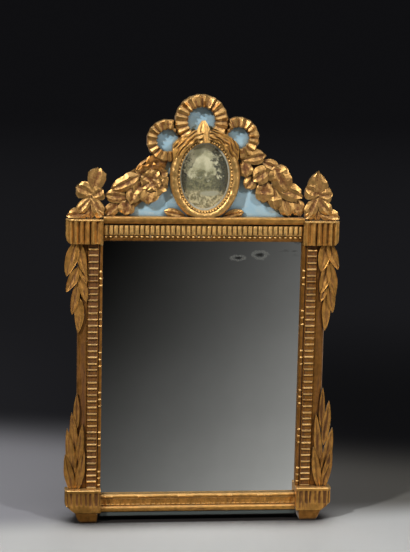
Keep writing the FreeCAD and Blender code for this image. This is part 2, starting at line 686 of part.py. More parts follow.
def side_strip(side, sign):
    name = f"side_strip_{side}"
    body = node(doc.addObject("PartDesign::Body", name), name)
    section = [("ladder_edge", "front_y"), ("ladder_edge", "front_y - strip_thickness"),
               ("bar_edge", "front_y - strip_thickness"), ("bar_edge", "front_y")]
    profile = sketch_on(body, name + "_section", "XY_Plane", ("0", "0", "block_top"))
    outline(profile, [(f"{sign}({x})", y) for x, y in section])
    strip = pad(body, name + "_bar", profile, BAR_LENGTH)
    front = mm.front_y - mm.strip_thickness
    round_edges(body, name + "_round", strip, "strip_round",
                lambda point: near(abs(point.x), mm.bar_edge) and near(point.y, front))


for side, sign in SIDES:
    ladder_moulding(side, sign)
    side_strip(side, sign)


# Top frieze with reeds, its pearl row and the cornice

def rail_body(name, corners):
    """A moulding that runs from side to side of the opening, with its section as corners in Y and Z."""
    body = node(doc.addObject("PartDesign::Body", name), name)
    profile = sketch_on(body, name + "_section", "YZ_Plane", ("0", "0", "-sight_half"))
    outline(profile, corners)
    return body, pad(body, name + "_bar", profile, "sight_width")


REED_PITCH = "(sight_width / reed_count)"
PEARL_BOTTOM = "(sight_top + lip_height)"
REED_BOTTOM = "(sight_top + lip_height + pearl_row_height)"
REED_TOP = "(cornice_bottom - cove_height)"

frieze, _ = rail_body("top_frieze", [
    ("front_y", "sight_top"),
    ("front_y - fillet_thickness + fillet_bevel", "sight_top"),
    ("front_y - fillet_thickness", "sight_top + fillet_bevel"),
    ("front_y - fillet_thickness", PEARL_BOTTOM),
    ("front_y - pearl_seat_thickness", PEARL_BOTTOM),
    ("front_y - pearl_seat_thickness", REED_BOTTOM),
    ("front_y - reed_seat_thickness", REED_BOTTOM),
    ("front_y - reed_seat_thickness", REED_TOP),
    ("front_y - cove_thickness", REED_TOP),
    ("front_y - cove_thickness", "cornice_bottom"),
    ("front_y", "cornice_bottom"),
])
reed_sketch = sketch_on(frieze, "reed_section", "XY_Plane", ("0", "0", REED_BOTTOM))
outline(reed_sketch, [(f"{REED_PITCH} / 2 - sight_half + reed_radius * {aside}",
                       f"front_y - reed_seat_thickness - reed_radius * {forward}")
                      for aside, forward in reed_outline_shares])
reed = pad(frieze, "reed", reed_sketch, "reed_height")
row_of(frieze, "reeds", reed, "X_Axis", f"sight_width - {REED_PITCH}", "reed_count")

PEARL_FACE = "front_y - pearl_seat_thickness - pearl_strip_thickness"
pearl_row, _ = rail_body("top_pearl_row", [
    ("front_y - pearl_seat_thickness", PEARL_BOTTOM),
    ("front_y - pearl_seat_thickness", REED_BOTTOM),
    (PEARL_FACE, REED_BOTTOM),
    (PEARL_FACE, PEARL_BOTTOM),
])
pearl_steps = []
for step, (size, forward) in enumerate(pearl_step_shares):
    plane_y = f"{PEARL_FACE} - pearl_radius * {forward}"
    ring = sketch_on(pearl_row, f"pearl_step_{step}", "XZ_Plane", ("0", "0", f"-({plane_y})"))
    turns = [2 * math.pi * (k + 0.5) / pearl_sides for k in range(pearl_sides)]
    outline(ring, [(f"{REED_PITCH} / 2 - sight_half + pearl_radius * {size * math.cos(turn)}",
                    f"{PEARL_BOTTOM} + pearl_row_height / 2 + pearl_radius * {size * math.sin(turn)}")
                   for turn in turns])
    pearl_steps.append(ring)
pearl = pearl_row.newObject("PartDesign::AdditiveLoft", "pearl")
pearl.Profile = pearl_steps[0]
pearl.Sections = pearl_steps[1:]
pearl.Ruled = True
row_of(pearl_row, "pearls", pearl, "X_Axis", f"sight_width - {REED_PITCH}", "reed_count")

rail_body("cornice", [
    ("front_y", "cornice_bottom"),
    ("front_y - cornice_projection + cornice_undercut", "cornice_bottom"),
    ("front_y - cornice_projection", "cornice_bottom + cornice_undercut"),
    ("front_y - cornice_projection", "cornice_top - cornice_bevel"),
    ("front_y - cornice_projection + cornice_bevel", "cornice_top"),
    ("front_y", "cornice_top"),
])


# Bottom frieze with shallow flutes, and the half-round base moulding under it

FRIEZE_BOTTOM = "(base_gap + base_moulding_height)"
BAND_TOP = "(sight_bottom - bottom_lip_height)"
FLUTE_PITCH = "(sight_width / flute_count)"
bottom, _ = rail_body("bottom_frieze", [
    ("front_y", FRIEZE_BOTTOM),
    ("front_y - bottom_band_thickness", FRIEZE_BOTTOM),
    ("front_y - bottom_band_thickness", BAND_TOP),
    ("front_y - fillet_thickness", BAND_TOP),
    ("front_y - fillet_thickness", "sight_bottom - fillet_bevel"),
    ("front_y - fillet_thickness + fillet_bevel", "sight_bottom"),
    ("front_y", "sight_bottom"),
])
flute_sketch = sketch_on(bottom, "flute_section", "XY_Plane", ("0", "0", f"{FRIEZE_BOTTOM} + flute_margin"))
gouge(flute_sketch, (f"{FLUTE_PITCH} / 2 - sight_half", "front_y - bottom_band_thickness"), "flute_width",
      "flute_depth", into=1)
flute = pocket(bottom, "flute", flute_sketch, f"{BAND_TOP} - {FRIEZE_BOTTOM} - 2 * flute_margin")
row_of(bottom, "flutes", flute, "X_Axis", f"sight_width - {FLUTE_PITCH}", "flute_count")

base_moulding, base_bar = rail_body("bottom_base_moulding", [
    ("front_y", "base_gap"),
    ("front_y - base_moulding_projection", "base_gap"),
    ("front_y - base_moulding_projection", FRIEZE_BOTTOM),
    ("front_y", FRIEZE_BOTTOM),
])
round_edges(base_moulding, "base_moulding_rounds", base_bar, "base_moulding_round",
            lambda point: near(point.y, mm.front_y - mm.base_moulding_projection))


# Corner capitals, fluted on the front and round the outer corner

def capital(side, sign):
    name = f"capital_{side}"
    body = node(doc.addObject("PartDesign::Body", name), name)
    corners = [("sight_half", "front_y"), ("sight_half", "front_y - block_projection"),
               ("capital_edge", "front_y - block_projection"), ("capital_edge", "front_y")]
    plan = sketch_on(body, name + "_plan", "XY_Plane", ("0", "0", "capital_bottom"))
    outline(plan, [(f"{sign}({x})", y) for x, y in corners])
    blank = pad(body, name + "_blank", plan, "capital_height")
    front = mm.front_y - mm.block_projection
    round_edges(body, name + "_corner", blank, "capital_round",
                lambda point: near(abs(point.x), mm.capital_edge) and near(point.y, front))
    body.Tip = body.Group[-1]
    corner_x = f"{sign}(capital_edge - capital_round)"
    corner_y = "front_y - block_projection + capital_round"
    plan_flute = sketch_on(body, name + "_flute", "XY_Plane", (corner_x, corner_y, "capital_bottom"))
    gouge(plan_flute, ("0", "-capital_round"), "capital_flute_width", "capital_flute_depth", into=1)
    first = pocket(body, name + "_first_flute", plan_flute, "capital_height - abacus_height")
    front_row = row_of(body, name + "_front_flutes", first, "X_Axis",
                       "(capital_front_flutes - 1) * capital_flute_pitch", "capital_front_flutes")
    front_row.Reversed = not sign
    round_row = ring_of(body, name + "_corner_flutes", first, plan_flute, "N_Axis", RIGHT_ANGLE,
                        "capital_corner_flutes + 1")
    round_row.Reversed = bool(sign)


for side, sign in SIDES:
    capital(side, sign)


# Base blocks with a slanted lower corner, tapered feet and their dowels

FOOT_INNER = "(sight_half + foot_inset)"
FOOT_OUTER = "(block_edge - block_bevel_width)"
DOWEL_X = f"({FOOT_INNER} + {FOOT_OUTER}) / 2"


def foot_dowel(name, sign):
    start = (f"{sign}({DOWEL_X})", "front_y - block_projection / 2", "foot_height - dowel_reach")
    return whittled(name, "z", start, "dowel_radius", "2 * dowel_reach")


def base_block(side, sign):
    name = f"base_block_{side}"
    body = doc.addObject("PartDesign::Body", name + "_body")
    corners = [("sight_half", "foot_height"), ("block_edge - block_bevel_width", "foot_height"),
               ("block_edge", "foot_height + block_bevel_height"), ("block_edge", "block_top"),
               ("sight_half", "block_top")]
    face = sketch_on(body, name + "_face", "XZ_Plane", ("0", "0", "-front_y"))
    outline(face, [(f"{sign}({x})", z) for x, z in corners])
    blank = pad(body, name + "_blank", face, "block_projection")
    front = mm.front_y - mm.block_projection
    round_edges(body, name + "_corner", blank, "block_round",
                lambda point: near(abs(point.x), mm.block_edge) and near(point.y, front))
    body.Tip = body.Group[-1]
    first_x = f"{sign}(sight_half + block_flute_pitch / 2)"
    section = sketch_on(body, name + "_flute", "XY_Plane", ("0", "0", "foot_height + block_bevel_height"))
    gouge(section, (first_x, "front_y - block_projection"), "block_flute_width", "block_flute_depth", into=1)
    groove = pocket(body, name + "_first_flute", section, "block_height - block_bevel_height - block_band")
    flutes = row_of(body, name + "_flutes", groove, "X_Axis", "(block_flutes - 1) * block_flute_pitch",
                    "block_flutes")
    flutes.Reversed = bool(sign)
    node(cut(name, body, [foot_dowel(name + "_hole", sign)]), name)


def foot(side, sign):
    """A tapered foot: its Y is the height, turned up to stand on the floor."""
    name = f"foot_{side}"
    inner, outer = FOOT_INNER, FOOT_OUTER
    low_inner, low_outer = f"({inner} + foot_inner_taper)", f"({outer} - foot_outer_taper)"
    back, front = "-(back_y - foot_margin)", "(block_projection - front_y - foot_margin)"
    block = doc.addObject("Part::Wedge", name + "_blank")
    spans = {
        "Xmin": lower_x(sign, low_inner, low_outer), "Xmax": f"{low_outer}" if not sign else f"-{low_inner}",
        "X2min": lower_x(sign, inner, outer), "X2max": f"{outer}" if not sign else f"-{inner}",
        "Zmin": f"{back} + foot_depth_taper", "Zmax": f"{front} - foot_depth_taper",
        "Z2min": back, "Z2max": front, "Ymin": "0", "Ymax": "foot_height",
    }
    for path, text in spans.items():
        bind(block, path, text)
    block.Placement = FreeCAD.Placement(V(0, 0, 0), FreeCAD.Rotation(V(1, 0, 0), RIGHT_ANGLE))
    node(cut(name, block, [foot_dowel(name + "_hole", sign)]), name)


for side, sign in SIDES:
    base_block(side, sign)
    foot(side, sign)
node(group("foot_dowels", [foot_dowel(f"foot_dowel_{side}", sign) for side, sign in SIDES]), "foot_dowels")


# Carved leaves: chisel-cut facets from a low edge up to a crest and down to a sunk midrib

def facet(corners):
    return Part.Face(Part.makePolygon(corners + corners[:1]))


def whole_solid(faces):
    """The solid inside a closed set of facets, with its faces turned outwards."""
    solid = Part.makeSolid(Part.makeShell(faces))
    if solid.Volume < 0:
        solid.reverse()
    return solid


def facing_front(root, tip, seat_y):
    """A function that lays along, aside and up of a leaf onto an upright seat, from root to tip."""
    along = (tip - root).normalize()
    aside = V(-along.z, 0, along.x)

    def at(length, width, height):
        place = root + along * length + aside * width
        return V(place.x, seat_y - height, place.z)

    return at


def facet_strip(lower, upper):
    """Triangles between two lines of points that meet at both ends."""
    faces = []
    for k in range(len(lower) - 1):
        if k < len(lower) - 2:
            faces.append(facet([lower[k], lower[k + 1], upper[k + 1]]))
        else:
            faces.append(facet([lower[k], lower[k + 1], upper[k]]))
        if 0 < k < len(lower) - 2:
            faces.append(facet([lower[k], upper[k + 1], upper[k]]))
    return faces


def leaf(root, tip, width, height, seat_y, crown_share=leaf_crown_share, rib_share=midrib_depth_share):
    length = (tip - root).Length
    at = facing_front(root, tip, seat_y)
    crown = min(width * crown_share, height / 2)
    bend = math.log(0.5) / math.log(leaf_belly_share)
    swell = [math.sin(math.pi * share ** bend) for share in leaf_station_shares]
    swell[0] = swell[-1] = 0
    places = [length * share for share in leaf_station_shares]
    edge_height = height - crown
    middle = [at(place, 0, edge_height + crown * full * (1 - rib_share))
              for place, full in zip(places, swell)]
    faces, sides = [], []
    for side in (1, -1):
        half = [side * width / 2 * full for full in swell]
        foot_line = [at(place, out, 0) for place, out in zip(places, half)]
        edge = [at(place, out, edge_height) for place, out in zip(places, half)]
        crest = [at(place, out * leaf_crest_share, edge_height + crown * full)
                 for place, out, full in zip(places, half, swell)]
        faces += facet_strip(edge, crest) + facet_strip(crest, middle)
        for k in range(len(places) - 1):
            faces.append(facet([foot_line[k], foot_line[k + 1], edge[k + 1], edge[k]]))
        sides.append(foot_line)
    faces.append(facet(sides[0] + sides[1][-2:0:-1]))
    return whole_solid(faces)


def leaves(rows, place_of, width, relief, seat_y, *form):
    """One leaf for each row of shares."""
    return [leaf(place_of(row[0], row[1]), place_of(row[2], row[3]), row[4] * width, row[5] * relief,
                 seat_y, *form) for row in rows]


def carving(name, solids, floor=None, ceiling=None, neighbours=()):
    """Fuses carved leaves into one piece, trims it to its seat and clears its neighbours."""
    shape = solids[0].multiFuse(solids[1:])
    reach = 2 * (mm.bow_z + mm.loop_radius)
    if floor is not None:
        shape = shape.cut(Part.makeBox(reach, reach, reach, V(-reach / 2, -reach / 2, floor - reach)))
    if ceiling is not None:
        shape = shape.cut(Part.makeBox(reach, reach, reach, V(-reach / 2, -reach / 2, ceiling)))
    for neighbour in neighbours:
        shape = shape.cut(neighbour)
    shape = shape.removeSplitter()
    if len(shape.Solids) != 1:
        print(name, "is carved in", len(shape.Solids), "pieces")
    piece = doc.addObject("Part::Feature", name)
    piece.Shape = shape.Solids[0] if len(shape.Solids) == 1 else shape
    return node(piece, name)


def across(sign):
    return -1 if sign else 1


# Laurel drops under the capitals and laurel sprigs on the base blocks

STRIP_FACE = mm.front_y - mm.strip_thickness


def laurel(name, sign, rows, bottom, length, floor=None, ceiling=None):
    def place_of(share_out, share_up):
        return V(across(sign) * (mm.ladder_edge + share_out * mm.laurel_width), 0, bottom + share_up * length)

    carving(name, leaves(rows, place_of, mm.laurel_width, mm.laurel_relief, STRIP_FACE), floor, ceiling)


LAURELS = {"left": (drop_left_shares, sprig_left_shares), "right": (drop_right_shares, sprig_right_shares)}
for side, sign in SIDES:
    drop_rows, sprig_rows = LAURELS[side]
    laurel(f"laurel_drop_{side}", sign, drop_rows, mm.capital_bottom - mm.drop_length, mm.drop_length,
           ceiling=mm.capital_bottom)
    laurel(f"laurel_sprig_{side}", sign, sprig_rows, mm.block_top, mm.sprig_length, floor=mm.block_top)


# Finials on the capitals

FINIALS = {"left": finial_left_shares, "right": finial_right_shares}
for side, sign in SIDES:
    def finial_place(share_out, share_up):
        return V(across(sign) * (mm.sight_half + share_out * (mm.capital_edge - mm.sight_half)), 0,
                 mm.capital_top + share_up * mm.finial_height)

    finial_back = mm.front_y - mm.block_projection + mm.finial_setback + mm.finial_relief
    carving(f"finial_{side}", leaves(FINIALS[side], finial_place, mm.capital_edge - mm.sight_half,
                                     mm.finial_relief, finial_back), floor=mm.capital_top)


# Pediment panel with round tops behind the three loops, on two dowels

panel_body = doc.addObject("PartDesign::Body", "pediment_panel_body")
half_outline = [("panel_half_width", "capital_top")] + [
    (f"panel_half_width * {out}", f"cornice_top + garland_height * {up}") for out, up in panel_outline_shares]
panel_face = sketch_on(panel_body, "panel_face", "XZ_Plane", ("0", "0", "-panel_back_y"))
outline(panel_face, half_outline + [(f"-({x})", z) for x, z in reversed(half_outline)])
pad(panel_body, "panel_board", panel_face, "panel_thickness")
LOOPS = {
    "centre": ("bow_x", "bow_z", "loop_radius", "loop_hole_radius", "loop_relief", "loop_pleats"),
    "left": ("left_loop_x", "left_loop_z", "side_loop_radius", "side_loop_hole_radius", "side_loop_relief",
             "side_loop_pleats"),
    "right": ("right_loop_x", "right_loop_z", "side_loop_radius", "side_loop_hole_radius", "side_loop_relief",
              "side_loop_pleats"),
}
for which, (x, z, radius, _, _, _) in LOOPS.items():
    disc = sketch_on(panel_body, f"panel_top_{which}", "XZ_Plane", ("0", "0", "-panel_back_y"))
    circle(disc, (x, z), f"{radius} - loop_seat")
    pad(panel_body, f"panel_round_{which}", disc, "panel_thickness")


def nail_shank(name, drop):
    return box(name, ("-nail_width / 2", "panel_back_y - nail_length", f"hinge_z - {drop} - nail_width / 2"),
               ("nail_width", "nail_length + strap_thickness", "nail_width"))


NAIL_DROPS = {"upper": "nail_drop", "lower": "(nail_drop + nail_spacing)"}
panel_holes = [panel_dowel(f"panel_dowel_hole_{side}", sign) for side, sign in SIDES]
panel_holes += [nail_shank(f"panel_nail_hole_{which}", drop) for which, drop in NAIL_DROPS.items()]
node(cut("pediment_panel", panel_body, panel_holes), "pediment_panel")
node(group("pediment_dowels", [panel_dowel(f"pediment_dowel_{side}", sign) for side, sign in SIDES]),
     "pediment_dowels")


# Medallion: an oval frame, lofted through the steps of its section, over glass, print and card

def oval_corners(x, z, y, half_width, half_height):
    """The corners of a many-sided upright oval, just round a true one."""
    reach = 1 / math.cos(math.pi / oval_sides)
    turns = [2 * math.pi * (k + 0.5) / oval_sides for k in range(oval_sides)]
    return [V(x + half_width * reach * math.cos(turn), y, z + half_height * reach * math.sin(turn))
            for turn in turns]


def oval(name, grown, y):
    """An upright oval, grown outwards from the sight of the medallion."""
    edge = doc.addObject("Part::Feature", name)
    corners = oval_corners(0, mm.medallion_z, y, mm.medallion_sight_width / 2 + grown,
                           mm.medallion_sight_height / 2 + grown)
    edge.Shape = Part.makePolygon(corners + corners[:1])
    return edge


def oval_plate(name, grown, back, thickness):
    """A flat oval from its back plane forwards."""
    plate = doc.addObject("Part::Extrusion", name)
    plate.Base = oval(name + "_edge", grown, back)
    plate.DirMode = "Custom"
    plate.Dir = V(0, -1, 0)
    plate.Solid = True
    bind(plate, "LengthFwd", thickness)
    return plate


def oval_loft(name, shares):
    """A solid through one oval for each step of the frame's section."""
    ovals = [oval(f"{name}_step_{step}", mm.medallion_border * out,
                  mm.front_y - mm.medallion_thickness * forward)
             for step, (out, forward) in enumerate(shares)]
    loft = doc.addObject("Part::Loft", name)
    loft.Sections = ovals
    loft.Solid = True
    loft.Ruled = True
    return loft


outside = oval_loft("medallion_outside", medallion_outer_shares)
inside = oval_loft("medallion_inside", medallion_inner_shares)
STACK = "(card_thickness + print_thickness + medallion_glass_thickness)"
rebate = oval_plate("medallion_rebate_room", mm.medallion_rebate, mm.front_y + mm.overrun,
                    f"{STACK} + overrun")
below = box("medallion_below", ("-medallion_sight_width", "front_y - 2 * medallion_thickness",
                                "cornice_top - medallion_sight_height"),
            ("2 * medallion_sight_width", "3 * medallion_thickness", "medallion_sight_height"))
node(cut("medallion_frame", outside, [inside, rebate, below]), "medallion_frame")

layer_back = mm.front_y
for layer in ("card", "print", "medallion_glass"):
    name = {"card": "medallion_backing", "print": "medallion_print"}.get(layer, layer)
    node(oval_plate(name, mm.medallion_rebate - mm.seat_clearance, layer_back, layer + "_thickness"), name)
    layer_back -= getattr(mm, layer + "_thickness")


def many_sided(x, z, half_width, half_height, thickness):
    """A flat-sided block just round an oval, on which cut leaves and pleats seat cleanly."""
    corners = oval_corners(x, z, mm.front_y + mm.overrun, half_width, half_height)
    return facet(corners).extrude(V(0, -thickness - mm.overrun, 0))


def oval_seat(thickness):
    border = mm.medallion_border + mm.seat_clearance
    return many_sided(0, mm.medallion_z, mm.medallion_sight_width / 2 + border,
                      mm.medallion_sight_height / 2 + border, thickness)


# Crest leaf over the medallion, and a leaf each side of its foot

doc.recompute()
crest_foot = mm.medallion_z + mm.medallion_sight_height / 2 + mm.medallion_border / 4
crest_x = -mm.bow_shift / 2
crest_root = V(crest_x, 0, crest_foot)
crest_leaves = [leaf(crest_root, crest_root + V(0, 0, mm.crest_height), mm.crest_width, mm.crest_relief,
                     mm.front_y)]
crest_wing_shares = ((-0.93, -0.36), (0.9, -0.44))
wing_root = crest_root + V(0, 0, mm.crest_height * crest_wing_share)
for out, up in crest_wing_shares:
    reach = V(out, 0, up) * mm.crest_wing_length
    crest_leaves.append(leaf(wing_root - reach * wing_tuck_share, wing_root + reach, mm.crest_wing_width,
                             mm.crest_relief * wing_relief_share, mm.front_y))
crest = carving("medallion_crest", crest_leaves, neighbours=[oval_seat(mm.medallion_thickness)])

spandrel_root_share = 0.8
spandrel_slope_share = 0.3
for side, sign in SIDES:
    root = V(across(sign) * mm.medallion_sight_width / 2 * spandrel_root_share, 0, mm.cornice_top)
    tip = root + V(across(sign) * mm.spandrel_length, 0, mm.spandrel_length * spandrel_slope_share)
    carving(f"medallion_foot_leaf_{side}",
            [leaf(root, tip, mm.spandrel_width, mm.spandrel_relief, mm.front_y)],
            floor=mm.cornice_top, neighbours=[oval_seat(mm.medallion_thickness)])


# Ribbon bow: three pleated loops, the side ones tucked behind the middle one

def bow_loop(which, tools):
    """A ring of pleats: ridges and valleys in turn, from the hole to a scalloped edge."""
    x, z, radius, hole, relief, pleats = (getattr(mm, text) for text in LOOPS[which])
    inset = (radius - hole) * loop_shoulder_share
    dip = mm.pleat_depth
    ridge = [(hole, 0), (hole, mm.loop_edge), (hole + inset, relief), (radius - inset, relief),
             (radius, mm.loop_edge), (radius, 0)]
    rim = radius - mm.pleat_scallop
    valley = [(hole, 0), (hole, mm.loop_edge - dip / 2), (hole + inset, relief - dip),
              (rim - inset, relief - dip), (rim, mm.loop_edge - dip / 2), (rim, 0)]
    sections = []
    for k in range(2 * round(pleats)):
        turn = math.pi * k / round(pleats)
        sections.append([V(x + out * math.sin(turn), mm.front_y - up, z + out * math.cos(turn))
                         for out, up in (valley if k % 2 else ridge)])
    faces = []
    for k, here in enumerate(sections):
        ahead = sections[(k + 1) % len(sections)]
        for j in range(len(here)):
            step = (j + 1) % len(here)
            faces.append(facet([here[j], here[step], ahead[step]]))
            faces.append(facet([here[j], ahead[step], ahead[j]]))
    carving(f"bow_loop_{which}", [whole_solid(faces)], neighbours=tools)


def loop_seat(which):
    """A many-sided block round a loop, for what tucks behind it."""
    x, z, radius = (getattr(mm, text) for text in LOOPS[which][:3])
    return many_sided(x, z, radius, radius, mm.garland_relief + mm.overrun)


medallion_room = oval_seat(mm.garland_relief + mm.overrun)
bow_loop("centre", [medallion_room, crest.Shape])
for side, _ in SIDES:
    bow_loop(side, [medallion_room, crest.Shape, loop_seat("centre")])


# Garlands: leaves with a bud each, and a flower on the left

def flower(centre, radius, height, petal_length, petal_width, petal_height, seat_y):
    petals = []
    for k in range(garland_petals):
        turn = 2 * math.pi * k / garland_petals
        tip = centre + V(math.cos(turn), 0, math.sin(turn)) * petal_length
        petals.append(leaf(centre, tip, petal_width, petal_height, seat_y))
    boss_turns = [2 * math.pi * k / peg_sides for k in range(peg_sides)]
    rim = [V(centre.x + radius * math.cos(turn), seat_y, centre.z + radius * math.sin(turn))
           for turn in boss_turns]
    return petals + [facet(rim).extrude(V(0, -height, 0))]


doc.recompute()
GARLANDS = {"left": (garland_left_shares, garland_left_bud_shares),
            "right": (garland_right_shares, garland_right_bud_shares)}
for side, sign in SIDES:
    def garland_place(share_out, share_up):
        return V(across(sign) * (mm.medallion_half + share_out * mm.garland_width), 0,
                 mm.cornice_top + share_up * mm.garland_height)

    leaf_rows, bud_rows = GARLANDS[side]
    extent = (garland_place, mm.garland_leaf_scale, mm.garland_relief, mm.front_y)
    carved = leaves(leaf_rows, *extent) + leaves(bud_rows, *extent, bud_crown_share, 0)
    if side == "left":
        out, up, boss_share, boss_height = garland_left_flower_shares
        petal_length, petal_width, petal_height = garland_left_petal_shares
        carved += flower(garland_place(out, up), boss_share * mm.garland_leaf_scale,
                         boss_height * mm.garland_relief, petal_length * mm.garland_leaf_scale,
                         petal_width * mm.garland_leaf_scale, petal_height * mm.garland_relief, mm.front_y)
    carving(f"garland_{side}", carved, floor=mm.cornice_top,
            neighbours=[medallion_room, loop_seat(side)])


# Hanger: a folded iron strap, its two forged nails and the ring that turns in its knuckle

KNUCKLE_RADIUS = "(ring_wire_radius + knuckle_clearance)"
strap = box("strap_plate", ("-strap_width / 2", "panel_back_y", "hinge_z - strap_length"),
            ("strap_width", "strap_thickness", "strap_length"))
knuckle = cylinder("strap_knuckle", "x", ("-strap_width / 2", "hinge_y", "hinge_z"),
                   f"{KNUCKLE_RADIUS} + strap_thickness", "strap_width")
knuckle_bore = cylinder("strap_bore", "x", ("-strap_width / 2 - overrun", "hinge_y", "hinge_z"),
                        KNUCKLE_RADIUS, "strap_width + 2 * overrun")
strap_holes = [nail_shank(f"strap_hole_{which}", drop) for which, drop in NAIL_DROPS.items()]
node(cut("hanger_plate", fuse("strap_blank", [strap, knuckle]), [knuckle_bore] + strap_holes), "hanger_plate")

nails = []
for which, drop in NAIL_DROPS.items():
    head = doc.addObject("Part::Wedge", f"nail_head_{which}")
    for axis in "XZ":
        bind(head, axis + "min", "-nail_head_width / 2")
        bind(head, axis + "max", "nail_head_width / 2")
        bind(head, axis + "2min", "-nail_head_width / 6")
        bind(head, axis + "2max", "nail_head_width / 6")
    bind(head, "Ymin", "0")
    bind(head, "Ymax", "nail_head_height")
    place(head, ("0", "panel_back_y + strap_thickness", f"hinge_z - {drop}"))
    nails.append(fuse(f"nail_{which}", [nail_shank(f"nail_shank_{which}", drop), head]))
node(group("hanger_nails", nails), "hanger_nails")


def hanging_ring():
    """A wire loop bent in short steps, whose upper side lies in the knuckle."""
    half, bend = mm.ring_width / 2, mm.ring_corner_radius
    top, bottom = mm.hinge_z, mm.hinge_z - mm.ring_height
    centres = [(half - bend, top - bend), (half - bend, bottom + bend), (bend - half, bottom + bend),
               (bend - half, top - bend)]
    path = [V(0, mm.hinge_y, top)]
    for quarter, (x, z) in enumerate(centres):
        for step in range(ring_bend_steps + 1):
            turn = math.pi / 2 * (quarter + step / ring_bend_steps)
            path.append(V(x + bend * math.sin(turn), mm.hinge_y, z + bend * math.cos(turn)))
    wire = Part.makePolygon(path + path[:1])
    turns = [2 * math.pi * k / wire_sides for k in range(wire_sides)]
    rim = [path[0] + V(0, math.cos(turn), math.sin(turn)) * mm.ring_wire_radius for turn in turns]
    section = Part.makePolygon(rim + rim[:1])
    piece = doc.addObject("Part::Feature", "hanging_ring")
    piece.Shape = wire.makePipeShell([section], True, False, 1)
    return node(piece, "hanging_ring")


hanging_ring()


# Checks and files

doc.recompute()
faults = [item.Name for item in doc.Objects if "Invalid" in item.State or "Error" in item.State]
for item in nodes:
    if item.Shape.isNull() or not item.Shape.isValid() or not item.Shape.Solids:
        faults.append(item.Label)
if faults:
    raise RuntimeError("failed pieces: " + ", ".join(faults))
os.makedirs("parts", exist_ok=True)
whole = FreeCAD.BoundBox()
for item in nodes:
    item.Shape.exportStep(os.path.join("parts", item.Label + ".step"))
    whole.add(item.Shape.optimalBoundingBox())
print(len(nodes), "nodes,", sum(len(item.Shape.Solids) for item in nodes), "solids")
print(f"x {whole.XMin:.2f} to {whole.XMax:.2f}, y {whole.YMin:.2f} to {whole.YMax:.2f}, "
      f"z {whole.ZMin:.2f} to {whole.ZMax:.2f}")
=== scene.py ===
# %% [markdown]
# # A pediment mirror in giltwood
# This lesson dresses the CAD model of a small wall mirror: a pine frame with carved and gilded mouldings,
# a light-blue painted pediment and an old plate. The CAD solids are loaded first and stay where they are.
# Pieces whose shape is already right only get a finish. Carving gets a finer mesh that takes its place.

import math

import bmesh
import bpy
from mathutils import Matrix, Vector, noise


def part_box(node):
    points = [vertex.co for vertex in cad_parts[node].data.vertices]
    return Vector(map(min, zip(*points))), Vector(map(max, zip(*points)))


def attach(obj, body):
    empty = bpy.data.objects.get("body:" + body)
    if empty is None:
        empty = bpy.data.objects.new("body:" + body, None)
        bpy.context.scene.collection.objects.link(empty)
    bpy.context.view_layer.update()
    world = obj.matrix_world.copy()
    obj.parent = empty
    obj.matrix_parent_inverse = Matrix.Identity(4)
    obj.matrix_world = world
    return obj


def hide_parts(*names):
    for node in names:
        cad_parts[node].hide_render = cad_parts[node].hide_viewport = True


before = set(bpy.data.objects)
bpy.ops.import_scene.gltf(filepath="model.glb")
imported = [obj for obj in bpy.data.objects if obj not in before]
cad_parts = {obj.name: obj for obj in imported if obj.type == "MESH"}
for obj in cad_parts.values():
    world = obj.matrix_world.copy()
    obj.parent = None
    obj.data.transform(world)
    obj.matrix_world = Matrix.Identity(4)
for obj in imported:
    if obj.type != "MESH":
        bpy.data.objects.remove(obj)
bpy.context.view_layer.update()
scene = bpy.context.scene

# %% [markdown]
# Woodwork is measured in millimetres and Blender counts in metres. The mirror's sizes below are in
# millimetres, and one factor turns them into metres when a mesh or a finish is made. Places come from the
# boxes of the CAD nodes, so that a carving stays where the solid is that it stands for.

# %% Millimetres
MM = 0.001


def span(name):
    """Lowest and highest corner of a CAD node, in millimetres."""
    low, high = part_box(name)
    return low / MM, high / MM


def side_faces(name):
    """How far the inner and the outer face of a side piece lie from the middle of the mirror."""
    low, high = span(name)
    return sorted((abs(low.x), abs(high.x)))


SIDES = {"left": -1, "right": 1}
sight_half = side_faces("ladder_moulding_right")[0]
panel_face = span("pediment_panel")[0].y
cornice_top = span("cornice")[1].z
print(f"the opening is {2 * sight_half:.0f} mm wide, the cornice ends at {cornice_top:.0f} mm")

# %% [markdown]
# ## Finishes
# A finish is a small graph of shader nodes. It could be wired by hand in the shader editor. Here a helper
# keeps such a graph short to write: each method adds a node and gives back its output.

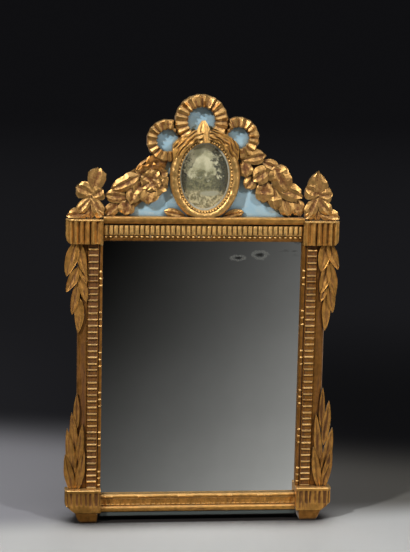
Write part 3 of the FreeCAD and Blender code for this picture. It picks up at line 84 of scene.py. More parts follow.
# %% A helper for node graphs
class Graph:
    def __init__(self, name):
        self.material = bpy.data.materials.new(name)
        self.material.use_nodes = True
        self.tree = self.material.node_tree
        self.shader = self.tree.nodes["Principled BSDF"]
        self.place = self.add("ShaderNodeTexCoord").outputs["Object"]

    def add(self, kind, **values):
        made = self.tree.nodes.new(kind)
        for name, value in values.items():
            setattr(made, name, value)
        return made

    def feed(self, socket, value):
        """Links an output to a socket, or sets the socket to a number or a colour."""
        if isinstance(value, bpy.types.NodeSocket):
            self.tree.links.new(value, socket)
        elif isinstance(value, tuple) and len(value) == 3 and socket.type == "RGBA":
            socket.default_value = (*value, 1)
        else:
            socket.default_value = value

    def set(self, name, value):
        self.feed(self.shader.inputs[name], value)

    def maths(self, operation, *values, clamp=False):
        made = self.add("ShaderNodeMath", operation=operation, use_clamp=clamp)
        for socket, value in zip(made.inputs, values):
            self.feed(socket, value)
        return made.outputs[0]

    def plus(self, first, second):
        return self.maths("ADD", first, second)

    def less(self, first, second, clamp=False):
        return self.maths("SUBTRACT", first, second, clamp=clamp)

    def times(self, first, second):
        return self.maths("MULTIPLY", first, second)

    def most(self, first, second):
        return self.maths("MAXIMUM", first, second)

    def line(self, value, slope, start):
        """The value times slope, plus start."""
        return self.maths("MULTIPLY_ADD", value, slope, start)

    def between(self, value, low, high):
        """0 below low, 1 above high, smooth between them."""
        made = self.add("ShaderNodeMapRange", interpolation_type="SMOOTHSTEP")
        self.feed(made.inputs["Value"], value)
        made.inputs["From Min"].default_value = low
        made.inputs["From Max"].default_value = high
        return made.outputs["Result"]

    def mix(self, share, first, second, blend="MIX"):
        made = self.add("ShaderNodeMix", data_type="RGBA", blend_type=blend)
        self.feed(made.inputs["Factor"], share)
        self.feed(made.inputs[6], first)
        self.feed(made.inputs[7], second)
        return made.outputs[2]


print("node graphs can be written as sums")

# %% [markdown]
# On top of the sums come the patterns of wear. Noise in object space needs no unwrapping, and because every
# mesh here is placed in the same frame, the grain runs on from piece to piece. The ambient occlusion node
# finds hollows. It looks at the mesh and not at the camera, so its result can be baked.

# %% Patterns of wear
class Finish(Graph):
    def xyz(self):
        made = self.add("ShaderNodeSeparateXYZ")
        self.feed(made.inputs[0], self.place)
        return made.outputs

    def past(self, place, low, high):
        """0 before low and 1 past high, both in millimetres."""
        return self.between(place, low * MM, high * MM)

    def scaled(self, value, start, unit):
        """The value counted from start in units."""
        return self.maths("DIVIDE", self.less(value, start), unit)

    def far(self, across, up):
        """Distance from the middle."""
        return self.maths("SQRT", self.line(across, across, self.times(up, up)))

    def ragged(self, value, grain, depth):
        """The value, moved to and fro by a noise."""
        return self.plus(value, self.line(grain, depth, -depth / 2))

    def stretched(self, factors):
        made = self.add("ShaderNodeMapping")
        self.feed(made.inputs["Vector"], self.place)
        made.inputs["Scale"].default_value = factors
        return made.outputs["Vector"]

    def grain(self, size, detail=4.0, stretch=None, rough=0.55):
        """Noise whose lumps are about size millimetres across."""
        made = self.add("ShaderNodeTexNoise")
        self.feed(made.inputs["Vector"], self.stretched(stretch) if stretch else self.place)
        made.inputs["Scale"].default_value = 1 / (size * MM)
        made.inputs["Detail"].default_value = detail
        made.inputs["Roughness"].default_value = rough
        return made.outputs["Fac"]

    def hollow(self, reach):
        """1 in the open and 0 deep in a hollow that is narrower than reach millimetres."""
        made = self.add("ShaderNodeAmbientOcclusion", samples=6)
        made.inputs["Distance"].default_value = reach * MM
        return made.outputs["AO"]

    def facing(self, axis, low, high):
        """1 on faces that look along an axis, 0 on all others."""
        made = self.add("ShaderNodeSeparateXYZ")
        self.feed(made.inputs[0], self.add("ShaderNodeTexCoord").outputs["Normal"])
        return self.between(made.outputs[axis], low, high)

    def behind(self):
        """1 on faces that look to the wall."""
        return self.facing("Y", 0.6, 0.9)

    def bump(self, height, depth, strength=1.0):
        made = self.add("ShaderNodeBump")
        made.inputs["Strength"].default_value = strength
        made.inputs["Distance"].default_value = depth * MM
        self.feed(made.inputs["Height"], height)
        self.feed(self.shader.inputs["Normal"], made.outputs["Normal"])


def darker(colour, share):
    return tuple(share * part for part in colour)


print("finishes can be written in a few lines each")

# %% [markdown]
# ### Gold leaf over red clay
# Water gilding lays thin gold leaf over red clay on chalk ground. Two centuries of dusting rub the leaf off,
# so the clay shows and chips go down to the chalk. Ridges keep more leaf, partly a painted highlight, upper
# faces take pale dust together with a painted top light, and hollows take dirt together with painted shade.
# A painted image could show all that, but a noise and the shape of the mesh do it for every piece at once.
# Faces that look to the wall were never gilded and show the wood.

# %% Gilding
RIDGE_GOLD_AND_HIGHLIGHT = 3.2
RIDGE_CHIPS = 1.5
# pale dust together with a painted top light on upper faces
DUST_AND_TOP_LIGHT_COVER = 0.40
CHALK = (0.46, 0.35, 0.21)
PALE_DUST_AND_TOP_LIGHT = (0.95, 0.66, 0.30)
RAW_WOOD = (0.170, 0.096, 0.043)


def gilding(name, leaf, clay, left, along=(1, 1, 1), dirt_and_shade_width=8, burnish=0.2):
    """left: share of leaf that is left, from 0 to 1. The hollow width says how wide the hollows are that take
    dirt and painted shade. burnish: how much smoother the leaf is than the clay."""
    finish = Finish(name)
    patches = finish.grain(24, 6, along)
    rubbing = finish.grain(4, 5, along, 0.65)
    wear = finish.line(rubbing, 0.5, finish.times(patches, 0.5))
    ridge = finish.less(finish.add("ShaderNodeNewGeometry").outputs["Pointiness"], 0.5)
    # ridges keep more leaf: partly wear, partly a painted highlight on the ridges
    wear = finish.line(ridge, RIDGE_GOLD_AND_HIGHLIGHT, wear)
    covered = finish.between(finish.plus(wear, left - 0.5), 0.40, 0.60)
    tone = finish.mix(finish.between(finish.grain(9, 3), 0.35, 0.68), leaf, darker(leaf, 0.66))
    worn = finish.mix(finish.between(finish.grain(3, 4, along), 0.4, 0.7), clay, darker(clay, 0.5))
    colour = finish.mix(covered, worn, tone)
    chipping = finish.line(ridge, RIDGE_CHIPS, finish.grain(6, 5, None, 0.7))
    chips = finish.between(chipping, 0.75, 0.78)
    colour = finish.mix(chips, colour, CHALK)
    # dust and a painted top light: faces that look up turn pale gold
    dust = finish.times(finish.facing("Z", 0.30, 0.85), DUST_AND_TOP_LIGHT_COVER)
    colour = finish.mix(dust, colour, PALE_DUST_AND_TOP_LIGHT)
    back = finish.behind()
    # dirt and painted shade: hollows darken to a dark clay and their leaf loses its shine
    clean_and_unshaded = finish.most(finish.between(finish.hollow(dirt_and_shade_width), 0.30, 0.95), back)
    colour = finish.mix(clean_and_unshaded, darker(clay, 0.16), colour)
    finish.set("Base Color", finish.mix(back, colour, RAW_WOOD))
    metal = finish.times(covered, finish.less(0.8, chips, clamp=True))
    metal = finish.times(metal, finish.less(1.0, back))
    finish.set("Metallic", finish.times(metal, clean_and_unshaded))
    finish.set("Roughness", finish.line(covered, -burnish, 0.60))
    finish.set("Specular IOR Level", 0.22)
    finish.bump(finish.line(rubbing, 0.8, finish.grain(1.3, 2)), 0.45, 0.55)
    return finish.material


# the share also covers the painted top light on the upper faces
print(f"dust covers up to {DUST_AND_TOP_LIGHT_COVER:.0%} of the upper faces")

# %% [markdown]
# The gilding is not the same all over. Reeds and beads, which stand out, kept the brightest leaf, and the
# plain strips are rubbed down to brown. On bars the wear runs along the wood, so their noise is stretched.

# %% Ten gildings
GOLD = (0.64, 0.360, 0.115)
FAIR_GOLD = (0.82, 0.475, 0.155)
WARM_GOLD = (0.72, 0.385, 0.100)
RED_GOLD = (0.72, 0.355, 0.083)
PALE_GOLD = (1.0, 0.600, 0.200)
BROWN_GOLD = (0.37, 0.158, 0.033)
RUST_GOLD = (0.44, 0.185, 0.034)
CLAY = (0.185, 0.070, 0.019)
BROWN_CLAY = (0.150, 0.060, 0.017)
gilt_carving = gilding("gilt_carving", GOLD, CLAY, 0.46)
gilt_bow = gilding("gilt_bow", GOLD, CLAY, 0.52, dirt_and_shade_width=4)
gilt_oval = gilding("gilt_oval", FAIR_GOLD, CLAY, 0.62, dirt_and_shade_width=5)
gilt_capital = gilding("gilt_capital", WARM_GOLD, CLAY, 0.66, (1, 1, 0.3), dirt_and_shade_width=4, burnish=0.08)
gilt_reeds = gilding("gilt_reeds", PALE_GOLD, CLAY, 0.92, dirt_and_shade_width=4, burnish=0.08)
gilt_level = gilding("gilt_level", RED_GOLD, BROWN_CLAY, 0.50, (0.14, 1, 1))
gilt_upright = gilding("gilt_upright", BROWN_GOLD, BROWN_CLAY, 0.46, (1, 1, 0.12))
gilt_ladder = gilding("gilt_ladder", RUST_GOLD, BROWN_CLAY, 0.48, (1, 1, 0.12), dirt_and_shade_width=5)
gilt_laurel = gilding("gilt_laurel", RED_GOLD, BROWN_CLAY, 0.54, (1, 1, 0.14), dirt_and_shade_width=5)
gilt_band = gilding("gilt_band", RED_GOLD, CLAY, 0.72, dirt_and_shade_width=3, burnish=0.1)
print("ten gildings")

# %% [markdown]
# ### Blue distemper
# The pediment is painted in a matt light blue over chalk. Brush marks run across it, the paint is rubbed,
# and painted shade darkens it in the hollows next to the carving. A stretched noise gives the brush marks.
# Near the floor the paint darkens with grime and painted shade under the base moulding. The lowest edge of
# the bottom rail is a near-black painted shadow, and the backs were never painted.

# %% Blue paint
BLUE = (0.280, 0.447, 0.548)
PALE_BLUE = (0.355, 0.510, 0.585)
BRUSHED_BLUE = (0.40, 0.51, 0.55)
SCUFFED_CHALK = (0.52, 0.50, 0.43)
SHADED_BLUE = (0.10, 0.13, 0.14)
GRIME_AND_SHADE = (0.062, 0.074, 0.070)
GRIME_AND_SHADE_HEIGHT = (16, 24)
SHADOW_EDGE = (0.020, 0.012, 0.009)
SHADOW_EDGE_HEIGHT = (7, 9)
PLAIN_WOOD = (0.130, 0.072, 0.032)
FAIR_WOOD = (0.215, 0.125, 0.058)


def blue_paint():
    finish = Finish("blue_paint")
    brush = finish.grain(4, 4, (0.2, 1, 1))
    cloud = finish.grain(40, 3)
    colour = finish.mix(finish.between(cloud, 0.35, 0.7), BLUE, PALE_BLUE)
    colour = finish.mix(finish.between(brush, 0.55, 0.75), colour, BRUSHED_BLUE)
    chips = finish.between(finish.grain(7, 6, None, 0.7), 0.67, 0.71)
    colour = finish.mix(chips, colour, SCUFFED_CHALK)
    # painted shade in the hollows next to the carving
    colour = finish.mix(finish.between(finish.hollow(9), 0.2, 0.9), SHADED_BLUE, colour)
    height = finish.line(brush, -2 * MM, finish.xyz()[2])
    # grime and painted shade: the paint darkens near the floor, under the base moulding
    colour = finish.mix(finish.past(height, *GRIME_AND_SHADE_HEIGHT), GRIME_AND_SHADE, colour)
    # painted shadow: the lowest millimetres of the rail are near black
    colour = finish.mix(finish.past(height, *SHADOW_EDGE_HEIGHT), SHADOW_EDGE, colour)
    wood = finish.mix(finish.between(brush, 0.4, 0.6), PLAIN_WOOD, FAIR_WOOD)
    finish.set("Base Color", finish.mix(finish.behind(), colour, wood))
    finish.set("Roughness", finish.line(brush, 0.2, 0.62))
    finish.bump(finish.line(chips, -0.6, brush), 0.3, 0.5)
    return finish.material


blue = blue_paint()
print("one blue paint")

# %% [markdown]
# ### Old pine
# The carcass behind is plain pine that has turned brown. Year rings run along each board, so there is one
# finish for upright boards and one for level boards, which differ only in the direction of the stretch.

# %% Pine
PINE = (0.150, 0.082, 0.036)
PALE_PINE = (0.275, 0.165, 0.078)
STAINED_PINE = (0.085, 0.050, 0.027)
PINE_DIRT_AND_SHADE = (0.03, 0.019, 0.012)


def pine(name, along):
    finish = Finish(name)
    rings = finish.grain(3.2, 5, along, 0.6)
    stain = finish.grain(60, 4)
    wood = finish.mix(finish.between(rings, 0.38, 0.66), PINE, PALE_PINE)
    wood = finish.mix(finish.between(stain, 0.45, 0.75), wood, STAINED_PINE)
    # dirt and painted shade: the pine darkens in its hollows
    clean_and_unshaded = finish.between(finish.hollow(10), 0.2, 0.9)
    finish.set("Base Color", finish.mix(clean_and_unshaded, PINE_DIRT_AND_SHADE, wood))
    finish.set("Roughness", finish.line(rings, 0.2, 0.62))
    finish.bump(rings, 0.4, 0.6)
    return finish.material


pine_upright = pine("pine_upright", (1, 1, 0.05))
pine_level = pine("pine_level", (0.05, 1, 1))
print("two pines")

# %% [markdown]
# ### The old plate
# The plate is glass with tin and mercury behind it. It reflects a little greyly, and the silvering has
# failed in rings with dark hearts, in streaks near one upper corner and in fine specks. Distances from a few
# chosen points give the rings, and noise breaks them up. Glass and silver in two layers would look the same
# from the front, so one metallic finish does for both.

# %% Mirror plate
STAINS = ((61.6, 468.5, 13, 5), (99.2, 474, 15, 7))
STREAK_SIDE = (118, 165)
STREAK_BELOW_TOP = (30, 6)
SPECK_HEIGHT = (360, 500)
SILVER = (0.86, 0.87, 0.85)
BRIGHT_SILVER = (0.93, 0.94, 0.92)
HAZY_SILVER = (0.45, 0.45, 0.36)
BLACK_SILVER = (0.035, 0.035, 0.026)


def stain(finish, x, z, row):
    """A pale ring and a dark heart. row: middle x, middle z, half width, half height."""
    middle_x, middle_z, half_width, half_height = row
    across = finish.scaled(x, middle_x * MM, half_width * MM)
    up = finish.scaled(z, middle_z * MM, half_height * MM)
    away = finish.ragged(finish.far(across, up), finish.grain(7, 4), 1.1)
    off_edge = finish.maths("ABSOLUTE", finish.less(away, 0.8))
    ring = finish.less(1.0, finish.between(off_edge, 0.12, 0.4))
    heart = finish.less(1.0, finish.between(away, 0.15, 0.5))
    return ring, heart


def plate_finish():
    finish = Finish("old_plate")
    x, _, z = finish.xyz()
    haze = 0.0
    dark = 0.0
    for row in STAINS:
        ring, heart = stain(finish, x, z, row)
        haze = finish.most(haze, ring)
        dark = finish.most(dark, heart)
    streak = finish.between(finish.grain(9, 5, (0.35, 1, 1.6)), 0.56, 0.68)
    top = span("top_frieze")[0].z
    below_top = finish.past(z, *[top - depth for depth in STREAK_BELOW_TOP])
    corner = finish.times(finish.past(x, *STREAK_SIDE), below_top)
    dark = finish.most(dark, finish.times(streak, corner))
    specks = finish.between(finish.grain(3.5, 3, None, 0.8), 0.755, 0.80)
    haze = finish.most(haze, finish.times(specks, finish.past(z, *SPECK_HEIGHT)))
    bloom = finish.between(finish.grain(120, 3), 0.3, 0.75)
    colour = finish.mix(bloom, SILVER, BRIGHT_SILVER)
    colour = finish.mix(finish.times(haze, 0.5), colour, HAZY_SILVER)
    finish.set("Base Color", finish.mix(finish.times(dark, 0.75), colour, BLACK_SILVER))
    finish.set("Metallic", finish.line(haze, -0.10, 1.0))
    finish.set("Roughness", finish.line(haze, 0.10, 0.03))
    return finish.material


print(len(STAINS), "stains on the plate")

# %% [markdown]
# ### The medallion's print
# Under the oval glass lies a tinted print with a pale rim. Here it is a plain park view of no one's hand: a
# pale sky, a far grove, trees at both sides, a lawn and a pond. All of it is noise and simple shapes in the
# plane of the paper, measured from the middle of the oval, so that no image is needed.

# %% The oval
BORDER = 17.5
frame_low, frame_high = span("medallion_frame")
print_low, print_high = span("medallion_print")
medallion_z = (print_low.z + print_high.z) / 2
oval_x = frame_high.x - BORDER
oval_z = frame_high.z - medallion_z - BORDER
print(f"the oval opening is {2 * oval_x:.0f} by {2 * oval_z:.0f} mm")

# %% Print
SKY = (0.56, 0.52, 0.33)
CLOUD = (0.33, 0.31, 0.17)
GROVE = (0.060, 0.058, 0.020)
PALE_GROVE = (0.205, 0.185, 0.080)
DEEP_SHADE = (0.012, 0.013, 0.005)
LEAF_SHADE = (0.075, 0.068, 0.026)
GRASS = (0.50, 0.43, 0.235)
GRASS_SHADE = (0.140, 0.118, 0.048)
WATER = (0.30, 0.29, 0.19)
PAPER_RIM = (0.42, 0.41, 0.32)
FOXING = (0.34, 0.25, 0.12)
POND_ACROSS = (0.22, 0.42)
POND_UP = (-0.50, 0.08)


def print_finish():
    finish = Finish("park_print")
    x, _, z = finish.xyz()
    across = finish.scaled(x, 0.0, oval_x * MM)
    up = finish.scaled(z, medallion_z * MM, oval_z * MM)
    leafy = finish.grain(6, 6, None, 0.62)
    clump = finish.grain(17, 3)
    fine = finish.grain(1.6, 4, None, 0.7)
    sky = finish.mix(finish.between(clump, 0.35, 0.65), SKY, CLOUD)
    tree_tops = finish.line(clump, 0.7, finish.times(leafy, 0.5))
    far_trees = finish.between(finish.line(up, -0.8, tree_tops), 0.50, 0.64)
    grove = finish.mix(finish.between(leafy, 0.38, 0.64), GROVE, PALE_GROVE)
    colour = finish.mix(far_trees, sky, grove)
    aside = finish.maths("ABSOLUTE", finish.plus(across, 0.12))
    near_trees = finish.line(aside, 0.95, finish.line(leafy, 1.7, -0.80))
    near_trees = finish.between(finish.line(up, 0.16, near_trees), 0.50, 0.80)
    shade = finish.mix(finish.between(fine, 0.35, 0.65), DEEP_SHADE, LEAF_SHADE)
    colour = finish.mix(near_trees, colour, shade)
    above_lawn = finish.between(finish.ragged(up, leafy, 0.4), -0.55, -0.36)
    grass = finish.mix(finish.between(leafy, 0.38, 0.60), GRASS, GRASS_SHADE)
    colour = finish.mix(above_lawn, grass, colour)
    pond = finish.far(finish.scaled(across, *POND_ACROSS), finish.scaled(up, *POND_UP))
    shore = finish.between(finish.ragged(finish.times(pond, pond), leafy, 1.6), 0.3, 1.5)
    colour = finish.mix(shore, WATER, colour)
    rim = finish.between(finish.ragged(finish.far(across, up), fine, 0.06), 0.935, 0.955)
    colour = finish.mix(rim, colour, PAPER_RIM)
    foxed = finish.between(finish.grain(14, 5, None, 0.7), 0.60, 0.74)
    finish.set("Base Color", finish.mix(finish.times(foxed, 0.45), colour, FOXING))
    finish.set("Roughness", finish.line(fine, 0.15, 0.7))
    finish.bump(fine, 0.08, 0.4)
    return finish.material


print(f"the pond in the print is about {2 * POND_ACROSS[1] * oval_x:.0f} mm wide")

# %% [markdown]
# ### Glass, card and iron
# The medallion's glass is thin and old. Most of the light goes straight through, so the finish is mostly see
# through and keeps a clear gloss. The card is grey pasteboard. The hanger is forged iron with some rust.

# %% Glass, card and iron
CLEAR_GLASS = (0.80, 0.84, 0.80)
DUSTY_GLASS = (0.62, 0.64, 0.58)
CARD = (0.24, 0.19, 0.13)
PALE_CARD = (0.36, 0.30, 0.21)
IRON = (0.045, 0.042, 0.040)
WORN_IRON = (0.13, 0.12, 0.11)
RUST = (0.125, 0.050, 0.020)


def thin_glass():
    finish = Finish("old_glass")
    dust = finish.between(finish.grain(30, 4), 0.4, 0.8)
    finish.set("Base Color", finish.mix(dust, CLEAR_GLASS, DUSTY_GLASS))
    finish.set("Roughness", finish.line(dust, 0.12, 0.03))
    finish.set("Alpha", finish.line(dust, 0.03, 0.03))
    return finish.material


def pasteboard():
    finish = Finish("pasteboard")
    fibre = finish.grain(2.5, 5)
    finish.set("Base Color", finish.mix(fibre, CARD, PALE_CARD))
    finish.set("Roughness", finish.line(fibre, 0.1, 0.82))
    finish.bump(fibre, 0.15, 0.5)
    return finish.material


def forged_iron():
    finish = Finish("forged_iron")
    scale = finish.grain(4, 5)
    rust = finish.between(finish.grain(9, 6, None, 0.65), 0.50, 0.66)
    finish.set("Base Color", finish.mix(rust, finish.mix(scale, IRON, WORN_IRON), RUST))
    finish.set("Metallic", finish.line(rust, -0.8, 0.9))
    finish.set("Roughness", finish.line(rust, 0.3, 0.45))
    finish.bump(finish.plus(scale, rust), 0.3, 0.6)
    return finish.material


print("finishes for glass, card and iron")

# %% [markdown]
# ### Dressing the CAD nodes
# Nodes that keep their CAD shape only take a finish. Sharp machine edges look false on old joinery, so
# a narrow bevel modifier takes them off. A modifier leaves the CAD mesh itself as it is.

# %% Finishes of the CAD nodes
PINE_EDGE = 0.6
RAIL_EDGE = 0.8
PANEL_EDGE = 1.0


def dress(name, material, edge=0.0):
    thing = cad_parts[name]
    thing.data.materials.clear()
    thing.data.materials.append(material)
    if edge:
        bevel = thing.modifiers.new("worn_edge", "BEVEL")
        bevel.width = edge * MM
        bevel.segments = 2
        bevel.limit_method = "ANGLE"
        bevel.harden_normals = True


for name in ("back_stile_left", "back_stile_right", "glue_blocks", "foot_dowels", "pediment_dowels"):
    dress(name, pine_upright, PINE_EDGE)
for name in ("back_top_rail", "backboard_lower", "backboard_upper", "corner_pegs"):
    dress(name, pine_level, PINE_EDGE)
dress("back_bottom_rail", blue, RAIL_EDGE)
dress("pediment_panel", blue, PANEL_EDGE)
dress("mirror_plate", plate_finish())
dress("medallion_print", print_finish())
dress("medallion_glass", thin_glass())
dress("medallion_backing", pasteboard())
iron = forged_iron()
for name in ("hanger_plate", "hanger_nails", "hanging_ring"):
    dress(name, iron)
print("CAD nodes that keep their shape are dressed")

# %% [markdown]
# ## Carving
# Every carved piece below is a loft: a row of closed sections with skin between them. A bar, a leaf, a
# pearl and a ring of pleats differ only in their sections, so one method makes them all, and each solid is
# closed. Sculpting by brush would be freer, but it could not be written down as a few measures.

# %% A stock of wood
class Stock:
    def __init__(self):
        self.points = []
        self.faces = []
        self.lofts = 0

    def loft(self, sections, ring=False):
        self.lofts += 1
        first = len(self.points)
        size = len(sections[0])
        for section in sections:
            self.points.extend(section)
        for k in range(len(sections) if ring else len(sections) - 1):
            here = first + k * size
            ahead = first + (k + 1) % len(sections) * size
            for j in range(size):
                step = (j + 1) % size
                self.faces.append((here + j, here + step, ahead + step, ahead + j))
        if not ring:
            last = first + (len(sections) - 1) * size
            self.faces.append(tuple(first + j for j in reversed(range(size))))
            self.faces.append(tuple(last + j for j in range(size)))


print("an empty stock has", len(Stock().faces), "faces")

# %% [markdown]
# A stock becomes a mesh that rides on the mirror and takes the place of its CAD node. Edges sharper than a
# crease angle stay sharp. Carving by hand is never quite even, so a smooth noise moves the sections by parts
# of a millimetre. The same places always give the same noise, so every run makes the same carving.

# %% From stock to piece
def carved(name, stock, finishes, *nodes, crease=38, slot="gilt", chosen=None):
    """Makes the piece, in place of the CAD nodes it stands for.

    finishes is one finish, or several of which chosen gives the number for the middle of a face."""
    mesh = bpy.data.meshes.new(name)
    mesh.from_pydata([Vector(point) * MM for point in stock.points], [], stock.faces)
    skin = bmesh.new()
    skin.from_mesh(mesh)
    bmesh.ops.recalc_face_normals(skin, faces=skin.faces)
    skin.to_mesh(mesh)
    skin.free()
    mesh.polygons.foreach_set("use_smooth", [True] * len(mesh.polygons))
    mesh.set_sharp_from_angle(angle=math.radians(crease))
    for finish in finishes if chosen else [finishes]:
        mesh.materials.append(finish)
    if chosen:
        for face in mesh.polygons:
            face.material_index = int(chosen(face.center / MM))
    thing = bpy.data.objects.new(name, mesh)
    scene.collection.objects.link(thing)
    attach(thing, "mirror")
    if nodes:
        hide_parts(*nodes)
    print(f"{name}: {len(stock.faces)} faces")


def uneven(x, y, z, size):
    """A smooth number from -1 to 1 that changes over about size millimetres."""
    return noise.noise(Vector((x, y, z)) / size)


def steps(low, high, step):
    """Even steps from low to high, both ends included."""
    count = max(2, round((high - low) / step))
    return [low + (high - low) * k / count for k in range(count + 1)]


print("from 0 to 30 mm in steps of 5:", steps(0, 30, 5))

# %% [markdown]
# ### Bead and reel
# The fillet round the plate is plain for most of its length, with groups of two beads between three reels.
# Single beads could be set along it, but a function of the distance along the fillet, which says how far the
# wood stands out there, keeps the fillet in one piece, as it is carved.

# %% Bead and reel
GROUP_PITCH = 71
REEL_PITCH = 12
REEL_HALF = 2.0
REEL_HEIGHT = 2.1
BEAD_HEIGHT = 0.7


def bead_and_reel(along, start):
    """Height of the fillet above its plain stretches."""
    place = (along - start) % GROUP_PITCH - GROUP_PITCH / 2
    if abs(place) > 1.5 * REEL_PITCH:
        return 0.0
    from_reel = abs((place + REEL_PITCH / 2) % REEL_PITCH - REEL_PITCH / 2)
    reel = REEL_HEIGHT * max(0.0, 1 - (from_reel / REEL_HALF) ** 2)
    if abs(place) > REEL_PITCH:
        return reel
    share = abs(from_reel / (REEL_PITCH / 2) - 1)
    return max(reel, BEAD_HEIGHT * math.sqrt(max(0.0, 1 - share ** 2)))


print(f"a group of beads every {GROUP_PITCH} mm")

# %% [markdown]
# ### Side bars
# Each side bar has the beaded fillet beside the plate, a ladder of rungs with gouged hollows between them,
# and a plain strip outside. The rungs are cut by eye, so their spacing varies a little from rung to rung.
# The bar is lofted upwards in steps that are short enough to show both flanks of a rung.

# %% Ladder mouldings
RUNGS = 39
RUNG_SHARE = 0.15
RUNG_DEPTH = 2.1
LADDER_STEP = 0.9
HOLLOW_SHARES = (0.16, 0.32, 0.5, 0.68, 0.84)
FILLET_WIDTH = 7
FILLET_DEPTH = 3.5
FILLET_START = {"left": 42, "right": 45}


def rung_depth(z, bottom, pitch):
    """0 on a rung, 1 on the floor of a hollow."""
    place = (z - bottom) / pitch + 0.07 * uneven(z, 3, 0, 17)
    phase = place % 1
    if phase < RUNG_SHARE:
        return 0.0
    rise = min((phase - RUNG_SHARE) / 0.09, (1 - phase) / 0.12, 1.0)
    return rise * rise * (3 - 2 * rise)


def ladder(side, sign):
    node = f"ladder_moulding_{side}"
    low, high = span(node)
    inner, outer = side_faces(node)
    back, front = high.y, low.y
    fillet = front + FILLET_DEPTH
    border = inner + FILLET_WIDTH
    pitch = (high.z - low.z) / RUNGS
    sections = []
    for z in steps(low.z, high.z, LADDER_STEP):
        bead = bead_and_reel(z, FILLET_START[side]) * (0.8 + 0.4 * uneven(z, sign, 0, 30))
        sway = 0.35 * uneven(z, sign * 9, 5, 40)
        dig = RUNG_DEPTH * rung_depth(z, low.z, pitch) * (1 + 0.2 * uneven(z, sign, 7, 9))
        edge = front + 0.4 + 0.4 * dig
        section = [(inner, back), (inner, fillet + 2.4), (inner + 1.0, fillet + 0.9 - 0.9 * bead),
                   (inner + 3.2, fillet - bead), (inner + 5.4, fillet + 0.7 - 0.9 * bead),
                   (border - 0.3, fillet + 0.8), (border, front + 1.9), (border + 0.9, edge),
                   (border + 1.8 + sway, front + 0.9 * dig)]
        for share in HOLLOW_SHARES:
            gouged = dig + 0.4 * uneven(share * 30, z, sign, 5)
            section.append((border + share * (outer - border), front + gouged))
        section += [(outer - 1.7 + sway, front + 0.9 * dig), (outer - 0.8, edge), (outer, front + 1.9),
                    (outer, back)]
        sections.append([(sign * x, y, z) for x, y in section])
    stock = Stock()
    stock.loft(sections)

    def bright(place):
        """Rungs and beads keep more leaf than the hollows, and the bright leaf on the rungs is also a painted
        highlight.
        """
        kept = uneven(place.z, sign, 2, 14) > -0.35
        rung = kept and border + 1.6 < abs(place.x) < outer - 1.4 and place.y < front + 0.7
        return rung or (abs(place.x) < border - 0.8 and place.y < fillet - 0.45)

    carved(f"carved_{node}", stock, (gilt_ladder, gilt_reeds), node, chosen=bright)


for side, sign in SIDES.items():
    ladder(side, sign)

# %% [markdown]
# The outer strip is a plain board with a rounded outer edge. Long strokes of the plane and the scraper leave
# faint ridges, which run up the strip as slow waves in its section.

# %% Side strips
STRIP_ROUND = 7
STRIP_SHARES = (0.0, 0.06, 0.3, 0.5, 0.7, 1.0)
STRIP_STEP = 6


def strip(side, sign):
    node = f"side_strip_{side}"
    low, high = span(node)
    inner, outer = side_faces(node)
    back, front = high.y, low.y
    sections = []
    for z in steps(low.z, high.z, STRIP_STEP):
        section = [(inner, back)]
        for share in STRIP_SHARES:
            x = inner + share * (outer - STRIP_ROUND - inner)
            dip = 0.0 if share else 0.8
            section.append((x, front + dip + 0.45 * (1 + uneven(x, 0, z * 0.1, 4))))
        for turn in steps(0, math.pi / 2, math.pi / 10)[1:]:
            x = outer - STRIP_ROUND * (1 - math.sin(turn))
            section.append((x, front + 0.4 + STRIP_ROUND * (1 - math.cos(turn))))
        section.append((outer, back))
        sections.append([(sign * x, y, z) for x, y in section])
    stock = Stock()
    stock.loft(sections)
    carved(f"carved_{node}", stock, gilt_upright, node)


for side, sign in SIDES.items():
    strip(side, sign)

# %% [markdown]
# ### Top frieze
# Under a plain cornice stand 39 upright reeds with rounded ends, and under each reed sits a pearl. They are
# the brightest gilding of the frame. The bar behind them is a loft along X of a stepped profile. Reeds are
# small lofts in a loop. An array modifier would repeat one reed, but here each one is a little different.

# %% Level bars
FRIEZE_FORWARD = 9
LIP_FORWARD = 10
frieze_face = panel_face - FRIEZE_FORWARD
lip_face = panel_face - LIP_FORWARD


def level_bar(node, profile, step=7.0):
    """A moulding along X: profile gives (y, z) corners for a place x."""
    low, high = span(node)
    stock = Stock()
    stock.loft([[(x, y, z) for y, z in profile(x)] for x in steps(low.x, high.x, step)])
    return stock


print(f"the friezes stand {FRIEZE_FORWARD} mm in front of the panel")

# %% Reeds
REEDS = 39
REED_LEVELS = ((0.0, 0.45, 0.15), (0.05, 0.78, 0.62), (0.14, 0.97, 0.92), (0.4, 1.0, 1.0), (0.75, 0.98, 0.98),
               (0.95, 0.94, 0.86), (1.0, 0.8, 0.5))
top_low, top_high = span("top_frieze")
pearl_low, pearl_high = span("top_pearl_row")
reed_bottom = pearl_high.z
reed_top = top_high.z - 3
reed_pitch = 2 * sight_half / REEDS


def top_profile(x):
    back, lip = top_high.y, lip_face
    sway = 0.3 * uneven(x, 2, 2, 25)
    return [(back, top_low.z), (lip + 2.2, top_low.z), (lip + 0.5, top_low.z + 1.0 + sway),
            (lip + sway, top_low.z + 2.5), (lip + 0.6, pearl_low.z), (frieze_face + 2, pearl_low.z + 0.4),
            (frieze_face + 2, reed_bottom), (frieze_face, reed_bottom + 0.3), (frieze_face, reed_top),
            (frieze_face + 1, top_high.z - 2.6), (frieze_face + 1, top_high.z), (back, top_high.z)]


